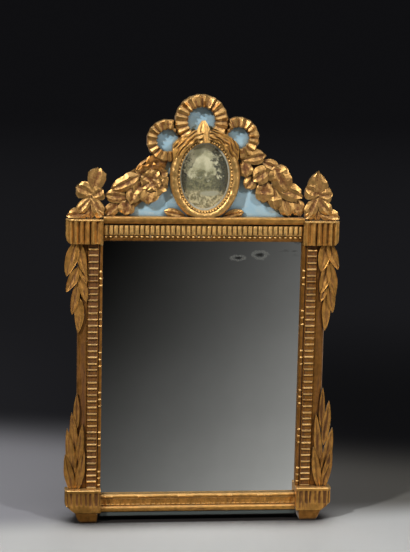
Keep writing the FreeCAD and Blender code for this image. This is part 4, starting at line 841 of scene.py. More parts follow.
def reed(stock, x, lean):
    radius = reed_pitch * (0.40 + 0.04 * uneven(x, 5, 0, 7))
    bottom = reed_bottom + 0.4 + 0.6 * uneven(x, 0, 3, 6)
    sections = []
    for share, width, height in REED_LEVELS:
        z = bottom + share * (reed_top - bottom)
        middle = x + lean * (share - 0.5)
        section = [(middle + width * radius, frieze_face + 0.3, z)]
        for turn in steps(0, math.pi, math.pi / 8):
            section.append((middle + width * radius * math.cos(turn),
                            frieze_face - height * radius * 0.98 * math.sin(turn) ** 0.8, z))
        section.append((middle - width * radius, frieze_face + 0.3, z))
        sections.append(section)
    stock.loft(sections)


stock = level_bar("top_frieze", top_profile)
for k in range(REEDS):
    x = -sight_half + reed_pitch * (k + 0.5) + 0.5 * uneven(k, 0, 0, 1.7)
    reed(stock, x, 1.2 * uneven(k, 4, 0, 2.3))
carved("carved_top_frieze", stock, (gilt_reeds, gilt_upright), "top_frieze",
       chosen=lambda place: place.z < pearl_high.z or place.z > reed_top)

# %% [markdown]
# A pearl is a dome on a flat seat: rings of points that draw together towards the top. Most of their leaf
# is left on the rounds and worn off on the seat between them.

# %% Pearls
PEARL_ACROSS = 2.7
PEARL_UP = 2.1
PEARL_HEIGHT = 3.0
pearl_seat = frieze_face + 0.4


def pearl_profile(x):
    return [(pearl_high.y, pearl_low.z), (pearl_high.y, pearl_high.z), (pearl_seat, pearl_high.z),
            (pearl_seat, pearl_low.z)]


def dome(stock, centre, across, up, height, turns=12, rings=5):
    """A round bump on an upright seat, from its foot to its top."""
    x, y, z = centre
    sections = []
    for k in range(rings + 1):
        lift = math.pi / 2 * min(k / rings, 0.97)
        sections.append([(x + across * math.cos(lift) * math.cos(2 * math.pi * j / turns),
                          y - height * math.sin(lift),
                          z + up * math.cos(lift) * math.sin(2 * math.pi * j / turns)) for j in range(turns)])
    stock.loft(sections)


stock = level_bar("top_pearl_row", pearl_profile)
for k in range(REEDS):
    x = -sight_half + reed_pitch * (k + 0.5) + 0.7 * uneven(k, 0, 8, 1.9)
    size = 1 + 0.18 * uneven(k, 6, 0, 1.3)
    dome(stock, (x, pearl_seat + 0.2, (pearl_low.z + pearl_high.z) / 2), PEARL_ACROSS * size, PEARL_UP,
         PEARL_HEIGHT * size)
carved("carved_top_pearl_row", stock, (gilt_upright, gilt_reeds), "top_pearl_row",
       chosen=lambda place: place.y < frieze_face - 0.2)

# %% [markdown]
# ### Cornice and bottom rail
# The cornice is a plain strip with a slanted underside, worn round at its upper edge. A bevel would round it
# evenly all along, so its profile is moved by a slow noise instead.

# %% Cornice
cornice_low, cornice_high = span("cornice")


def cornice_profile(x):
    back, nose = cornice_high.y, cornice_low.y
    sway = 0.35 * uneven(x, 6, 1, 30)
    return [(back, cornice_low.z), (nose + 6, cornice_low.z), (nose + 2.2, cornice_low.z + 3.2),
            (nose + 0.7, cornice_low.z + 5.6), (nose + 0.2 + 0.2 * sway, cornice_low.z + 7.5),
            (nose + 0.3, cornice_high.z - 2.2 + sway), (nose + 1.1, cornice_high.z - 0.7 + 0.5 * sway),
            (nose + 2.6, cornice_high.z), (back, cornice_high.z)]


carved("carved_cornice", level_bar("cornice", cornice_profile), gilt_level, "cornice")

# %% [markdown]
# The bottom rail has a beaded lip and a band of shallow flutes. The lip lies lower here than in the CAD
# model, level with the lower edge of the plate, because the photograph shows more of the plate.

# %% Bottom frieze
FLUTES = 39
FLUTE_DEPTH = 1.3
FRIEZE_STEP = 0.9
LIP_DROP = 7.4
LIP_HEIGHT = 6.4
LIP_BEADS_START = 12
frieze_low, frieze_high = span("bottom_frieze")
lip_top = frieze_high.z - LIP_DROP
band_top = lip_top - LIP_HEIGHT
flute_pitch = 2 * sight_half / FLUTES


def flute_depth(x):
    phase = ((x + sight_half) / flute_pitch + 0.12 * uneven(x, 0, 4, 13)) % 1
    return FLUTE_DEPTH * max(0.0, 1 - (abs(phase - 0.5) / 0.40) ** 4)


def bottom_profile(x):
    back, band, lip = frieze_high.y, frieze_face, lip_face
    dig = flute_depth(x)
    bead = bead_and_reel(x, LIP_BEADS_START) * (0.75 + 0.4 * uneven(x, 1, 0, 30))
    rough = 0.2 * uneven(x, 7, 7, 6)
    return [(back, frieze_low.z), (band + 0.6, frieze_low.z), (band + rough, frieze_low.z + 1.2),
            (band + rough, frieze_low.z + 1.7), (band + dig, frieze_low.z + 2.6),
            (band + dig, (frieze_low.z + band_top) / 2), (band + dig, band_top - 2.8),
            (band + rough, band_top - 1.9), (band + rough, band_top - 0.7), (band + 0.8, band_top),
            (lip + 0.7 - 0.4 * bead, band_top + 0.9), (lip - 0.8 * bead, band_top + 2.7),
            (lip + 0.4 - 0.6 * bead, band_top + 4.4), (lip + 1.4, lip_top - 1.0), (lip + 2.6, lip_top),
            (back, lip_top)]


def frieze_part(place):
    """0 on the band, 1 on the plain lip, 2 on the beads of the lip."""
    if place.z < band_top + 0.6:
        return 0
    return 2 if place.y < lip_face - 0.7 else 1


carved("carved_bottom_frieze", level_bar("bottom_frieze", bottom_profile, FRIEZE_STEP),
       (gilt_band, gilt_level, gilt_reeds), "bottom_frieze", chosen=frieze_part)

# %% [markdown]
# Under the band runs a half-round base moulding. Below it a thin blue strip shows, the painted front edge of
# the bottom board: a plain bar with worn edges that touches the moulding above it and the rail behind it.

# %% Base moulding and blue strip
BOARD_SHOWN = 6.2
BOARD_SETBACK = 1.5
base_low, base_high = span("bottom_base_moulding")


def base_profile(x):
    middle = (base_low.z + base_high.z) / 2
    half = (base_high.z - base_low.z) / 2
    sway = 0.3 * uneven(x, 8, 3, 35)
    corners = [(base_high.y, base_high.z), (base_low.y + half, base_high.z)]
    for turn in steps(0, math.pi, math.pi / 9)[1:-1]:
        corners.append((base_low.y + half * (1 - math.sin(turn) ** 0.8) + sway * math.sin(turn) + 0.3,
                        middle + half * math.cos(turn)))
    return corners + [(base_low.y + half, base_low.z), (base_high.y, base_low.z)]


def board_profile(x):
    low = base_low.z - BOARD_SHOWN + 0.3 * uneven(x, 4, 4, 30)
    high = base_low.z
    front = base_low.y + BOARD_SETBACK
    return [(panel_face, low), (front + 0.6, low), (front, low + 0.7), (front + 0.1, high),
            (panel_face, high)]


carved("carved_base_moulding", level_bar("bottom_base_moulding", base_profile), gilt_level,
       "bottom_base_moulding")
carved("blue_board_edge", level_bar("bottom_base_moulding", board_profile), blue, slot="blue_paint")

# %% [markdown]
# ### Capitals, base blocks and feet
# The corner capitals and base blocks are fluted round their outer corner. Flutes could be cut with booleans.
# A loft of the plan from the bottom up is quicker and leaves soft ridges: the outline is walked in equal
# steps, and each point goes inwards by the depth of the groove at that place.

# %% Walking round a block
WALK_STEP = 0.75


def plan_walk(inner, outer, back, front, corner):
    """Points on the front and the outer side of a block, with their outward direction and the way walked."""
    walk = []
    for x in steps(inner, outer - corner, WALK_STEP):
        walk.append((x, front, 0.0, -1.0, x - inner))
    straight = outer - corner - inner
    for turn in steps(0, math.pi / 2, WALK_STEP / corner)[1:]:
        walk.append((outer - corner + corner * math.sin(turn), front + corner - corner * math.cos(turn),
                     math.sin(turn), -math.cos(turn), straight + corner * turn))
    round_end = straight + corner * math.pi / 2
    for y in steps(front + corner, back, 2 * WALK_STEP)[1:]:
        walk.append((outer, y, 1.0, 0.0, round_end + y - front - corner))
    return walk


def groove(way, pitch, depth):
    """Depth of the soft wave between ridges that stand side by side."""
    place = way / pitch + 0.22 * uneven(way, 0, 0, 12)
    across = abs(2 * (place % 1) - 1)
    return depth * (0.5 - 0.5 * math.cos(math.pi * across))


def fluted_block(sign, levels, inner, outer_at, back, front, corner, pitch):
    """levels are (z, inwards, groove depth) from the bottom up; outer_at gives the outer face at z."""
    widest = outer_at(levels[-1][0])
    sections = []
    for z, inset, depth in levels:
        limit = outer_at(z) - inset
        section = [(inner, back, z)]
        for x, y, out_x, out_y, way in plan_walk(inner, widest, back, front, corner):
            move = inset + groove(way, pitch, depth) + 0.25 * uneven(x, y, z * 0.4, 7)
            section.append((max(inner, min(x - out_x * move, limit)), y - out_y * move, z))
        section.append((min(limit, widest), back, z))
        sections.append([(sign * x, y, z) for x, y, z in section])
    stock = Stock()
    stock.loft(sections)
    return stock


print("a walk round a block of 20 by 20 mm has", len(plan_walk(0, 20, 20, 0, 9)), "points")

# %% [markdown]
# A capital has deep flutes that run out just under its plain upper edge, and its lower outer corner is drawn
# in. A base block has shallow flutes over a slanted lower corner, and a plain upper edge that is rubbed
# bright.

# %% Capitals and base blocks
CAPITAL_CORNER = 20
CAPITAL_PITCH = 10.5
CAPITAL_DEPTH = 6.6
CAPITAL_SHARES = (0.12, 0.25, 0.4, 0.6, 0.8)
TUCK_WIDTH = 6
TUCK_HEIGHT = 12
BLOCK_CORNER = 9
BLOCK_PITCH = 8.5
BLOCK_DEPTH = 2.4
SLANT_WIDTH = 18
SLANT_HEIGHT = 14


def capital(side, sign):
    node = f"capital_{side}"
    low, high = span(node)
    inner, outer = side_faces(node)
    tall = high.z - low.z

    def outer_at(z):
        return outer - TUCK_WIDTH * max(0.0, 1 - (z - low.z) / TUCK_HEIGHT) ** 2

    levels = [(low.z, 1.2, 4.8), (low.z + 1.2, 0.4, 6.0)]
    levels += [(low.z + tall * share, 0.25, CAPITAL_DEPTH) for share in CAPITAL_SHARES]
    levels += [(high.z - 4.6, 0.3, 5.6), (high.z - 3.0, 0.4, 3.0), (high.z - 2.0, 0.25, 1.2),
               (high.z - 0.8, 0.3, 0.9), (high.z, 1.1, 0.5)]
    stock = fluted_block(sign, levels, inner, outer_at, high.y, low.y, CAPITAL_CORNER, CAPITAL_PITCH)
    carved(f"carved_{node}", stock, (gilt_capital, gilt_reeds), node,
           chosen=lambda place: place.z > high.z - 1.6 + uneven(place.x, 0, place.y, 6))


def base_block(side, sign):
    node = f"base_block_{side}"
    low, high = span(node)
    inner, outer = side_faces(node)

    def outer_at(z):
        return outer - SLANT_WIDTH * max(0.0, 1 - (z - low.z) / SLANT_HEIGHT)

    levels = [(low.z, 0.9, 0.2), (low.z + 1.0, 0.3, 0.3), (low.z + 7, 0.25, 0.4), (low.z + 12, 0.25, 0.6),
              (low.z + SLANT_HEIGHT, 0.3, 1.8), (low.z + 18, 0.3, BLOCK_DEPTH),
              (low.z + 26, 0.3, BLOCK_DEPTH), (high.z - 7, 0.3, 2.2), (high.z - 5.4, 0.4, 0.6),
              (high.z - 4.6, 0.2, 0.15), (high.z - 1.2, 0.1, 0.1), (high.z, 1.0, 0.1)]
    stock = fluted_block(sign, levels, inner, outer_at, high.y, low.y, BLOCK_CORNER, BLOCK_PITCH)
    carved(f"carved_{node}", stock, (gilt_laurel, gilt_reeds), node,
           chosen=lambda place: high.z - 2.4 < place.z < high.z - 0.3)


print(f"flutes are {CAPITAL_DEPTH} mm deep on capitals and {BLOCK_DEPTH} mm on base blocks")

# %% [markdown]
# The feet are tapered blocks with cut corners, swollen a little at half height. Their sections stay inside
# the box of the CAD foot, so that the mirror stands on the floor as before.

# %% Feet
FOOT_LEVELS = ((0.0, -0.8), (0.05, 0.0), (0.35, 0.3), (0.7, 0.3), (0.95, 0.0), (1.0, -0.3))
FOOT_CUT = 2.2
TAPER_INNER = 2.0
TAPER_OUTER = 8
TAPER_FRONT = 1.5
TAPER_BACK = 5


def foot(side, sign):
    node = f"foot_{side}"
    low, high = span(node)
    inner, outer = side_faces(node)
    cut = FOOT_CUT
    sections = []
    for share, swell in FOOT_LEVELS:
        z = low.z + share * (high.z - low.z)
        near = inner + TAPER_INNER * (1 - share) - swell
        far = outer - TAPER_OUTER * (1 - share) + swell
        front = low.y + TAPER_FRONT * (1 - share) - swell
        back = high.y - TAPER_BACK * (1 - share) + swell
        section = []
        for x, y in [(near, back - cut), (near, front + cut), (near + cut, front), (far - cut, front),
                     (far, front + cut), (far, back - cut), (far - cut, back), (near + cut, back)]:
            section.append((sign * max(inner, min(outer, x)), max(low.y, min(high.y, y)), z))
        sections.append(section)
    stock = Stock()
    stock.loft(sections)
    carved(f"carved_{node}", stock, gilt_upright, node)


for side, sign in SIDES.items():
    capital(side, sign)
    base_block(side, sign)
    foot(side, sign)

# %% [markdown]
# ### Leaves
# Laurels, finials and garlands are built of leaves. A leaf is a loft from root to tip: each section goes
# over the leaf from edge to edge and back along its seat. The edge swells to a belly, the back is crowned
# or dished, and a crease is sunk along the middle. There are few sections and few points in each, so the
# leaf keeps flat cuts, as a chisel leaves them. The tip stands proud of the root, so that a leaf laps over
# the next one, as shingles do. Seats of neighbours differ by a hair, so that no two backs share a plane.

# %% A carved leaf
LEAF_STEPS = 8
LOBE_EDGE = 0.44
ACROSS = (-1, -0.84, -LOBE_EDGE, 0, LOBE_EDGE, 0.84, 1)
SEAT_STEP = 0.06


def leaf(stock, row, seat, rise, belly=0.5, blunt=0.6, lap=0.2, dish=0.0, notch=0.0, start=0.0):
    """row: root x, root z, tip x, tip z, width. seat: plane it grows from. rise: height above that.

    lap lifts the tip over the root, dish hollows the leaf inside a raised rim, notch cuts its tip into
    lobes, and start leaves out that share of the length at the root."""
    root_x, root_z, tip_x, tip_z, width = row
    seat -= SEAT_STEP * stock.lofts
    length = math.hypot(tip_x - root_x, tip_z - root_z)
    along_x, along_z = (tip_x - root_x) / length, (tip_z - root_z) / length
    bend = math.log(0.5) / math.log(belly)
    bow = 0.14 * width * uneven(root_x, tip_x, root_z, 11)
    sections = []
    for k in range(LEAF_STEPS + 1):
        share = min(max(start + (1 - start) * k / LEAF_STEPS, 0.004), 0.99)
        swell = math.sin(math.pi * share ** bend) ** blunt
        lift = rise * (0.54 + lap * (share - 0.5) - 0.15 * share ** 8)
        section = []
        for out in (*ACROSS, 0.9, -0.9):
            seated = len(section) >= len(ACROSS)
            full = (1 - out * out) * swell
            crease = 0.0 if out else 0.20 * swell
            rim = 0.16 * dish * swell if abs(out) > 0.9 else 0.0
            chisel = 0.11 * uneven(share * 11, out * 6, root_x + tip_z, 1.3)
            height = lift + rise * ((0.32 - 0.5 * dish) * full - crease + rim + chisel)
            half = width / 2 * swell * (1 + 0.10 * uneven(share * 7, out * 2, tip_x, 1.3))
            side = half * out + bow * math.sin(math.pi * share)
            lobe = 0.0 if abs(out) == LOBE_EDGE else notch
            far = length * share * (1 - lobe * share ** 3)
            section.append((root_x + along_x * far - along_z * side, seat if seated else seat - height,
                            root_z + along_z * far + along_x * side))
        sections.append(section)
    stock.loft(sections)


print("a leaf has", (LEAF_STEPS + 1) * (len(ACROSS) + 2), "points")

# %% [markdown]
# Laurel hangs down under the capitals and grows up from the base blocks. The leaves are long, widest below
# their middle, and each pair laps over the next. Places were read off the photograph along the strip. The
# uppermost or lowest roots lie inside the capital or the block.

# %% Laurels
ROOT_IN_CAPITAL = 6
ROOT_IN_BLOCK = 8
LAUREL_RISE = 6.4
drop_root = span("capital_left")[0].z + ROOT_IN_CAPITAL
sprig_root = span("base_block_left")[1].z - ROOT_IN_BLOCK
laurel_seat = span("side_strip_right")[0].y + 0.3
LAURELS = {
    "laurel_drop_left": [
        (-214, 402, -215, 338, 17), (-216, 426, -226, 370, 14), (-213, 440, -201, 391, 15),
        (-214, 464, -201, 424, 14), (-215, 454, -236, 410, 17), (-216, drop_root, -201, 437, 17),
        (-218, drop_root, -236, 437, 22)],
    "laurel_drop_right": [
        (218, 408, 216, 342, 15), (216, 424, 207, 394, 11), (222, 424, 229, 374, 15),
        (218, 460, 206, 408, 18), (220, 465, 232, 401, 18), (215, drop_root, 206, 447, 22),
        (218, drop_root, 236, 451, 18)],
    "laurel_sprig_left": [
        (-216, 166, -216, 232, 11), (-219, 122, -225, 198, 14), (-218, 78, -206, 178, 14),
        (-220, 72, -233, 170, 17), (-217, sprig_root, -203, 133, 15), (-222, sprig_root, -236, 123, 17)],
    "laurel_sprig_right": [
        (217, 162, 217, 240, 11), (221, 135, 229, 216, 14), (218, 80, 206, 193, 15),
        (220, 74, 236, 167, 17), (217, sprig_root, 203, 133, 15), (221, sprig_root, 236, 131, 15)],
}
for name, rows in LAURELS.items():
    stock = Stock()
    for place, row in enumerate(rows):
        rise = LAUREL_RISE + 3.0 * place / len(rows)
        leaf(stock, row, laurel_seat, rise, belly=0.44, blunt=0.75, lap=0.3, dish=0.8)
    carved(f"carved_{name}", stock, gilt_laurel, name, crease=14)

# %% [markdown]
# Each finial is a small bunch of broad leaves on a stem, and lower leaves that spread on the capital. The
# first row of each table is the stem. The last leaf is the top one, round on the left and pointed on the
# right.

# %% Finials
FINIALS = {
    "finial_left": [
        (-196, 530, -192, 606, 26), (-194, 551, -236.5, 541, 25), (-192, 552, -172, 540, 18),
        (-193, 574, -176, 541, 22), (-194, 574, -219, 545, 20), (-193, 574, -174, 587, 28),
        (-190, 577, -221, 592, 32), (-193, 580, -181, 625, 32)],
    "finial_right": [
        (197, 530, 196, 606, 26), (197, 551, 237, 541, 25), (194, 552, 174, 540, 18),
        (197, 578, 178, 540, 23), (198, 578, 220, 546, 22), (198, 581, 223, 583, 28),
        (200, 580, 174, 594, 33), (196, 582, 196, 624, 38)],
}
TOP_LEAF = {"finial_left": (0.66, 0.34), "finial_right": (0.36, 0.85)}
SIDE_LEAF = (0.60, 0.5)
STEM_RISE = 12
FINIAL_RISE = 13
finial_seat = span("finial_left")[1].y
for name, rows in FINIALS.items():
    stock = Stock()
    for place, row in enumerate(rows):
        rise = FINIAL_RISE + 4.0 * place / len(rows) if place else STEM_RISE
        belly, blunt = TOP_LEAF[name] if row is rows[-1] else SIDE_LEAF
        leaf(stock, row, finial_seat, rise, belly, blunt, dish=0.2, notch=0.07)
    carved(f"carved_{name}", stock, gilt_carving, name, crease=14)

# %% [markdown]
# The garlands hang from the bow to the ends of the cornice. They have broad round leaves, a split bud on
# each side, and on the left a full flower of broad petals. The first row of each table is a low leaf that
# backs all the others. Buds are high leaves with a shorter leaf over them. Petals are short leaves, and the
# inner ones start beyond the middle, so that they cover it.

# %% Flower
FLOWER = (-93, 603)
OUTER_PETALS = (6, 34, 34, 15, 0.5, 3)
INNER_PETALS = (4, 21, 27, 18.5, 0.9, -7)


def flower(stock, x, z):
    for petals, length, wide, rise, turned, beyond in (OUTER_PETALS, INNER_PETALS):
        for k in range(petals):
            turn = 2 * math.pi * k / petals + turned + 0.5 * uneven(k, length, 0, 1.7)
            far = length * (1 + 0.2 * uneven(k, 0, length, 1.3))
            row = (x + beyond * math.cos(turn), z + beyond * math.sin(turn), x + far * math.cos(turn),
                   z + far * math.sin(turn), wide * (1 + 0.2 * uneven(k, 3, length, 1.3)))
            leaf(stock, row, panel_face, rise + 1.4 * (k % 2), 0.66, 0.45, lap=0.3, dish=0.25, notch=0.12)


print("the flower has", OUTER_PETALS[0] + INNER_PETALS[0], "petals")

# %% Garlands
garland_foot = cornice_top + 0.5
GARLANDS = {
    "garland_left": [
        (-62, 648, -166, 546, 52), (-140, 566, -172, garland_foot, 23), (-131, 572, -136, garland_foot, 29),
        (-128, 574, -172, 577, 25), (-91, 645, -121, 615, 14), (-66, 640, -104, 622, 32),
        (-110, 602, -129, 561, 26), (-94, 604, -99, 561, 35)],
    "garland_right": [
        (62, 650, 168, 546, 54), (158, 578, 167, garland_foot, 25), (137, 582, 149, garland_foot, 30),
        (117, 602, 126, 552, 25), (104, 608, 101, 565, 33), (88, 615, 70, 590, 24),
        (116, 598, 172, 576, 33), (66, 640, 71, 609, 27), (95, 638, 126, 623, 24),
        (61, 639, 105, 649, 27), (118, 626, 82, 604, 33)],
}
BUDS = {"garland_left": (-113, 611, -161, 586, 27), "garland_right": (119, 632, 147, 584, 35)}
BACKING_RISE = 8.5
GARLAND_RISE = 11
BUD_RISE = 18.5
SEPAL_RISE = 19.5
SEPAL_SHARE = 0.6
RUBBED_ABOVE = 622


def bud(stock, row):
    x, z, tip_x, tip_z, width = row
    leaf(stock, row, panel_face, BUD_RISE, lap=0.0)
    sepal = (x, z, x + SEPAL_SHARE * (tip_x - x), z + SEPAL_SHARE * (tip_z - z), width * 1.1)
    leaf(stock, sepal, panel_face, SEPAL_RISE, 0.55, 0.5, lap=0.1, dish=0.1, notch=0.2)


def rubbed(place):
    """The upper end of the left garland has lost most of its leaf."""
    return place.x < 0 and place.z > RUBBED_ABOVE + 6 * uneven(place.x, 0, place.z, 9)


for name, rows in GARLANDS.items():
    stock = Stock()
    for place, row in enumerate(rows):
        rise = GARLAND_RISE + 7.5 * place / len(rows) if place else BACKING_RISE
        leaf(stock, row, panel_face, rise, 0.60, 0.5, lap=0.34, dish=0.2, notch=0.06)
    bud(stock, BUDS[name])
    if name == "garland_left":
        flower(stock, *FLOWER)
    carved(f"carved_{name}", stock, (gilt_carving, gilt_upright), name, crease=14, chosen=rubbed)

# %% [markdown]
# ### Medallion
# An oval frame with a rounded section holds the print. Round its inner edge runs a string of small beads.
# The frame is a ring loft: the section is turned round the oval, and its foot is cut flat by the cornice.
# A bevelled curve would give the round too, but not the flat foot.

# %% Medallion frame
MEDALLION_SECTION = [
    (0.0, 0.31), (0.0, 0.62), (0.05, 0.74), (0.19, 0.76), (0.22, 0.84), (0.28, 0.92), (0.40, 0.98),
    (0.58, 1.0), (0.76, 0.97), (0.90, 0.86), (0.98, 0.66), (1.0, 0.42), (1.0, 0.0), (0.23, 0.0),
    (0.23, 0.31)]
OVAL_STEPS = 160
BEADS = 58
BEAD_LINE = 2.6
BEAD_SIZE = 2.5
BEAD_RISE = 4.6
BEAD_SEAT_SHARE = 0.70
deep = panel_face - frame_low.y


def oval_place(turn, out):
    return (oval_x + out) * math.sin(turn), medallion_z + (oval_z + out) * math.cos(turn)


def on_beads(place):
    """Beads lie inside the oval where the round of the frame starts."""
    edge = BEAD_LINE + 1
    return math.hypot(place.x / (oval_x + edge), (place.z - medallion_z) / (oval_z + edge)) < 1


stock = Stock()
sections = []
for k in range(OVAL_STEPS):
    turn = 2 * math.pi * k / OVAL_STEPS
    section = []
    for out, forward in MEDALLION_SECTION:
        x, z = oval_place(turn, BORDER * out)
        worn = 1.2 * uneven(x, forward * 9, z, 6) if forward > 0.7 else 0.0
        section.append((x, panel_face - deep * forward + worn, max(z, cornice_top)))
    sections.append(section)
stock.loft(sections, ring=True)
for k in range(BEADS):
    turn = 2 * math.pi * (k + 0.2 * uneven(k, 0, 3, 1.7)) / BEADS
    x, z = oval_place(turn, BEAD_LINE)
    size = BEAD_SIZE * (1 + 0.25 * uneven(k, 5, 5, 1.9))
    dome(stock, (x, panel_face - deep * BEAD_SEAT_SHARE, z), size, size, BEAD_RISE, turns=8, rings=4)
carved("carved_medallion_frame", stock, (gilt_oval, gilt_reeds), "medallion_frame", chosen=on_beads)

# %% [markdown]
# Two slim leaves side by side crown the frame. From them a ribbon in long folds runs down each side of the
# oval. It grows wider on its way and tucks in beside the side loop of the bow. The ribbon is a loft along
# the oval, and a wave across its width, bent by noise, gives the folds.

# %% Crest and ribbons
RIBBON_START = 0.08
RIBBON_END = 1.17
RIBBON_TUCK = 0.3
RIBBON_INNER = 0.40
RIBBON_STEPS = 20
FOLD_RISE = 3.4
CREST_MIDDLE = -5
CREST_WIDTH = 17
crest_root = frame_high.z - 23.5
crest_tip = frame_high.z + 21.5


def ribbon(stock, sign):
    sections = []
    for turn in steps(RIBBON_START, RIBBON_END, 0.03):
        tuck = min(1.0, (RIBBON_END - turn) / RIBBON_TUCK)
        width = (1.25 + 0.5 * turn) * tuck + 0.95 * (1 - tuck) - RIBBON_INNER
        section = []
        for k in range(RIBBON_STEPS + 1):
            out = RIBBON_INNER + width * k / RIBBON_STEPS
            wander = 0.6 * uneven(turn * 5, sign, out * 2.5, 1)
            fold = 0.5 + 0.5 * math.cos(2 * math.pi * (2.7 * out + 0.8 * turn + wander))
            height = deep * (1.06 - 0.36 * max(0.0, out - 0.9)) - 2.6 * (1 - tuck) + FOLD_RISE * fold * tuck
            x, z = oval_place(sign * turn, BORDER * out)
            section.append((x, panel_face - height, z))
        first, last = section[0], section[-1]
        section.append((last[0], panel_face, last[2]))
        section.append((first[0], panel_face, first[2]))
        sections.append(section)
    stock.loft(sections)


stock = Stock()
for sign in SIDES.values():
    ribbon(stock, sign)
for sign in SIDES.values():
    row = (CREST_MIDDLE + 7 * sign, crest_root, CREST_MIDDLE + 1.5 * sign, crest_tip, CREST_WIDTH)
    leaf(stock, row, panel_face - 0.5 * deep, 0.75 * deep, belly=0.40, lap=-0.3, start=0.15)
carved("carved_medallion_crest", stock, (gilt_capital, gilt_reeds), "medallion_crest", crease=16,
       chosen=lambda place: abs(place.x - CREST_MIDDLE) < 11)

# %% [markdown]
# A small leaf lies at each side of the medallion's foot. It is made as the other leaves are, and what would
# reach below the cornice is pressed up to its top.

# %% Foot leaves
FOOT_LEAF_ROOT = 32
FOOT_LEAF_TIP = 69
FOOT_LEAF_WIDTH = 18
FOOT_LEAF_RISE = 12
for side, sign in SIDES.items():
    stock = Stock()
    row = (sign * FOOT_LEAF_ROOT, cornice_top + 1, sign * FOOT_LEAF_TIP, cornice_top + 9, FOOT_LEAF_WIDTH)
    leaf(stock, row, panel_face, FOOT_LEAF_RISE, belly=0.55, lap=0.1, dish=0.2)
    stock.points = [(x, y, max(z, cornice_top)) for x, y, z in stock.points]
    carved(f"carved_medallion_foot_leaf_{side}", stock, gilt_carving, f"medallion_foot_leaf_{side}")

# %% [markdown]
# ### Ribbon bow
# Three loops of pleated ribbon crown the pediment. Cloth could be simulated, but this ribbon is carved, with
# straight cuts. Each loop is a ring loft whose section rises over every pleat: a flank, a sharp ridge and
# another flank, so that light catches one side of each fold. The side loops dip where they pass behind the
# middle one, and all three end under the rim of the medallion.

# %% Bow loops
PLEAT_RIDGE = 0.54
PLEAT_DEPTH = 3.6
PLEAT_SCALLOP = 1.0
PLEAT_INSET = 1.6
PLEAT_STEPS = 10
DIPPED_SHARE = 0.35
LOOP_SECTION = [(0.0, 0.0), (0.0, 0.84), (0.05, 0.95), (0.15, 1.0), (0.5, 1.0), (0.85, 0.96), (0.95, 0.86),
                (1.0, 0.66), (1.0, 0.0)]
LOOPS = {
    "centre": (-8, 705, 46, 23, 16.5, 20),
    "left": (-65, 671, 36.5, 18, 14, 16),
    "right": (56, 677, 36.5, 18, 14, 16),
}


def pleat(turn, count):
    """0 in a valley and 1 on a ridge."""
    wander = 0.24 * uneven(math.cos(turn) * 3, math.sin(turn) * 3, count, 1)
    place = (turn / (2 * math.pi) * count + wander) % 1
    return place / PLEAT_RIDGE if place < PLEAT_RIDGE else (1 - place) / (1 - PLEAT_RIDGE)


def under_frame(x):
    """Height above which a loop stays, so that it ends under the rim of the medallion."""
    share = min(1.0, abs(x) / (oval_x + BORDER / 2))
    return medallion_z + (oval_z + BORDER / 2) * math.sqrt(1 - share ** 2)


def bow_loop(which):
    """A row of LOOPS: middle x and z, radius, radius of the hole, relief, number of pleats."""
    centre_x, centre_z, radius, hole, relief, count = LOOPS[which]
    other_x, other_z, other_radius = LOOPS["centre"][:3]
    sections = []
    for k in range(count * PLEAT_STEPS):
        turn = 2 * math.pi * k / (count * PLEAT_STEPS)
        valley = 1 - pleat(turn, count)
        edge = radius - PLEAT_SCALLOP * valley
        inner = hole + PLEAT_INSET * valley
        section = []
        for out, up in LOOP_SECTION:
            away = inner + out * (edge - inner)
            x, z = centre_x + away * math.sin(turn), centre_z + away * math.cos(turn)
            height = relief * up - (PLEAT_DEPTH * valley if up else 0.0)
            if which != "centre" and math.hypot(x - other_x, z - other_z) < other_radius + 1:
                height *= DIPPED_SHARE
            section.append((x, panel_face - max(0.0, height), max(z, under_frame(x))))
        sections.append(section)
    stock = Stock()
    stock.loft(sections, ring=True)
    carved(f"carved_bow_loop_{which}", stock, (gilt_bow, gilt_upright), f"bow_loop_{which}", crease=16,
           chosen=lambda place: uneven(place.x, 0, place.z, 7) > 0.2)


for which in LOOPS:
    bow_loop(which)

# %% [markdown]
# ## Stage, light and camera
# The mirror stands on a pale floor that runs back into the dark. A backdrop could do the same, but one floor
# keeps the shadow and has no edge. Its colour comes from the distance behind the mirror, with painted shade
# behind it that is grey on the left, darker on the right and near black far back. Close to the mirror a
# painted contact shadow darkens it, and under it, between the feet, a painted shadow makes it nearly black.
# Stage, lights and camera are measured in metres.

# %% Floor colour
PALE_FLOOR = (0.49, 0.49, 0.48)
SHADED_LEFT_FLOOR = (0.280, 0.277, 0.297)
SHADED_RIGHT_FLOOR = (0.122, 0.116, 0.104)
FAR_FLOOR = (0.010, 0.010, 0.012)
SHADOW = (0.018, 0.015, 0.014)
SHADOW_REACH = 110


def under_mirror(finish, x, y):
    """1 on the floor between the feet and under them, where a painted shadow goes."""
    front = span("foot_left")[0].y + 2
    back = span("foot_left")[1].y
    outer = side_faces("foot_right")[1]
    under = finish.less(finish.past(y, front - 3, front + 3), finish.past(y, back, back + 20), clamp=True)
    return finish.times(under, finish.past(finish.maths("ABSOLUTE", x), outer + 4, outer - 4))


def floor_colour(finish, x, y, edge, depth):
    # painted shade: the floor behind the mirror turns grey on the left, darker on the right, near black far
    # back
    colour = finish.mix(finish.between(x, -0.45, 0.45), SHADED_LEFT_FLOOR, SHADED_RIGHT_FLOOR)
    colour = finish.mix(finish.between(finish.line(x, -0.08, edge), -0.065, 0.06), PALE_FLOOR, colour)
    colour = finish.mix(finish.between(depth, 0.28, 0.72), colour, FAR_FLOOR)
    lit = finish.between(finish.hollow(SHADOW_REACH), 0.58, 0.82)
    colour = finish.mix(lit, SHADOW, colour)
    # painted shadow under the mirror, between the feet
    return finish.mix(under_mirror(finish, x, y), colour, SHADOW)


print(f"the contact shadow reaches {SHADOW_REACH} mm")

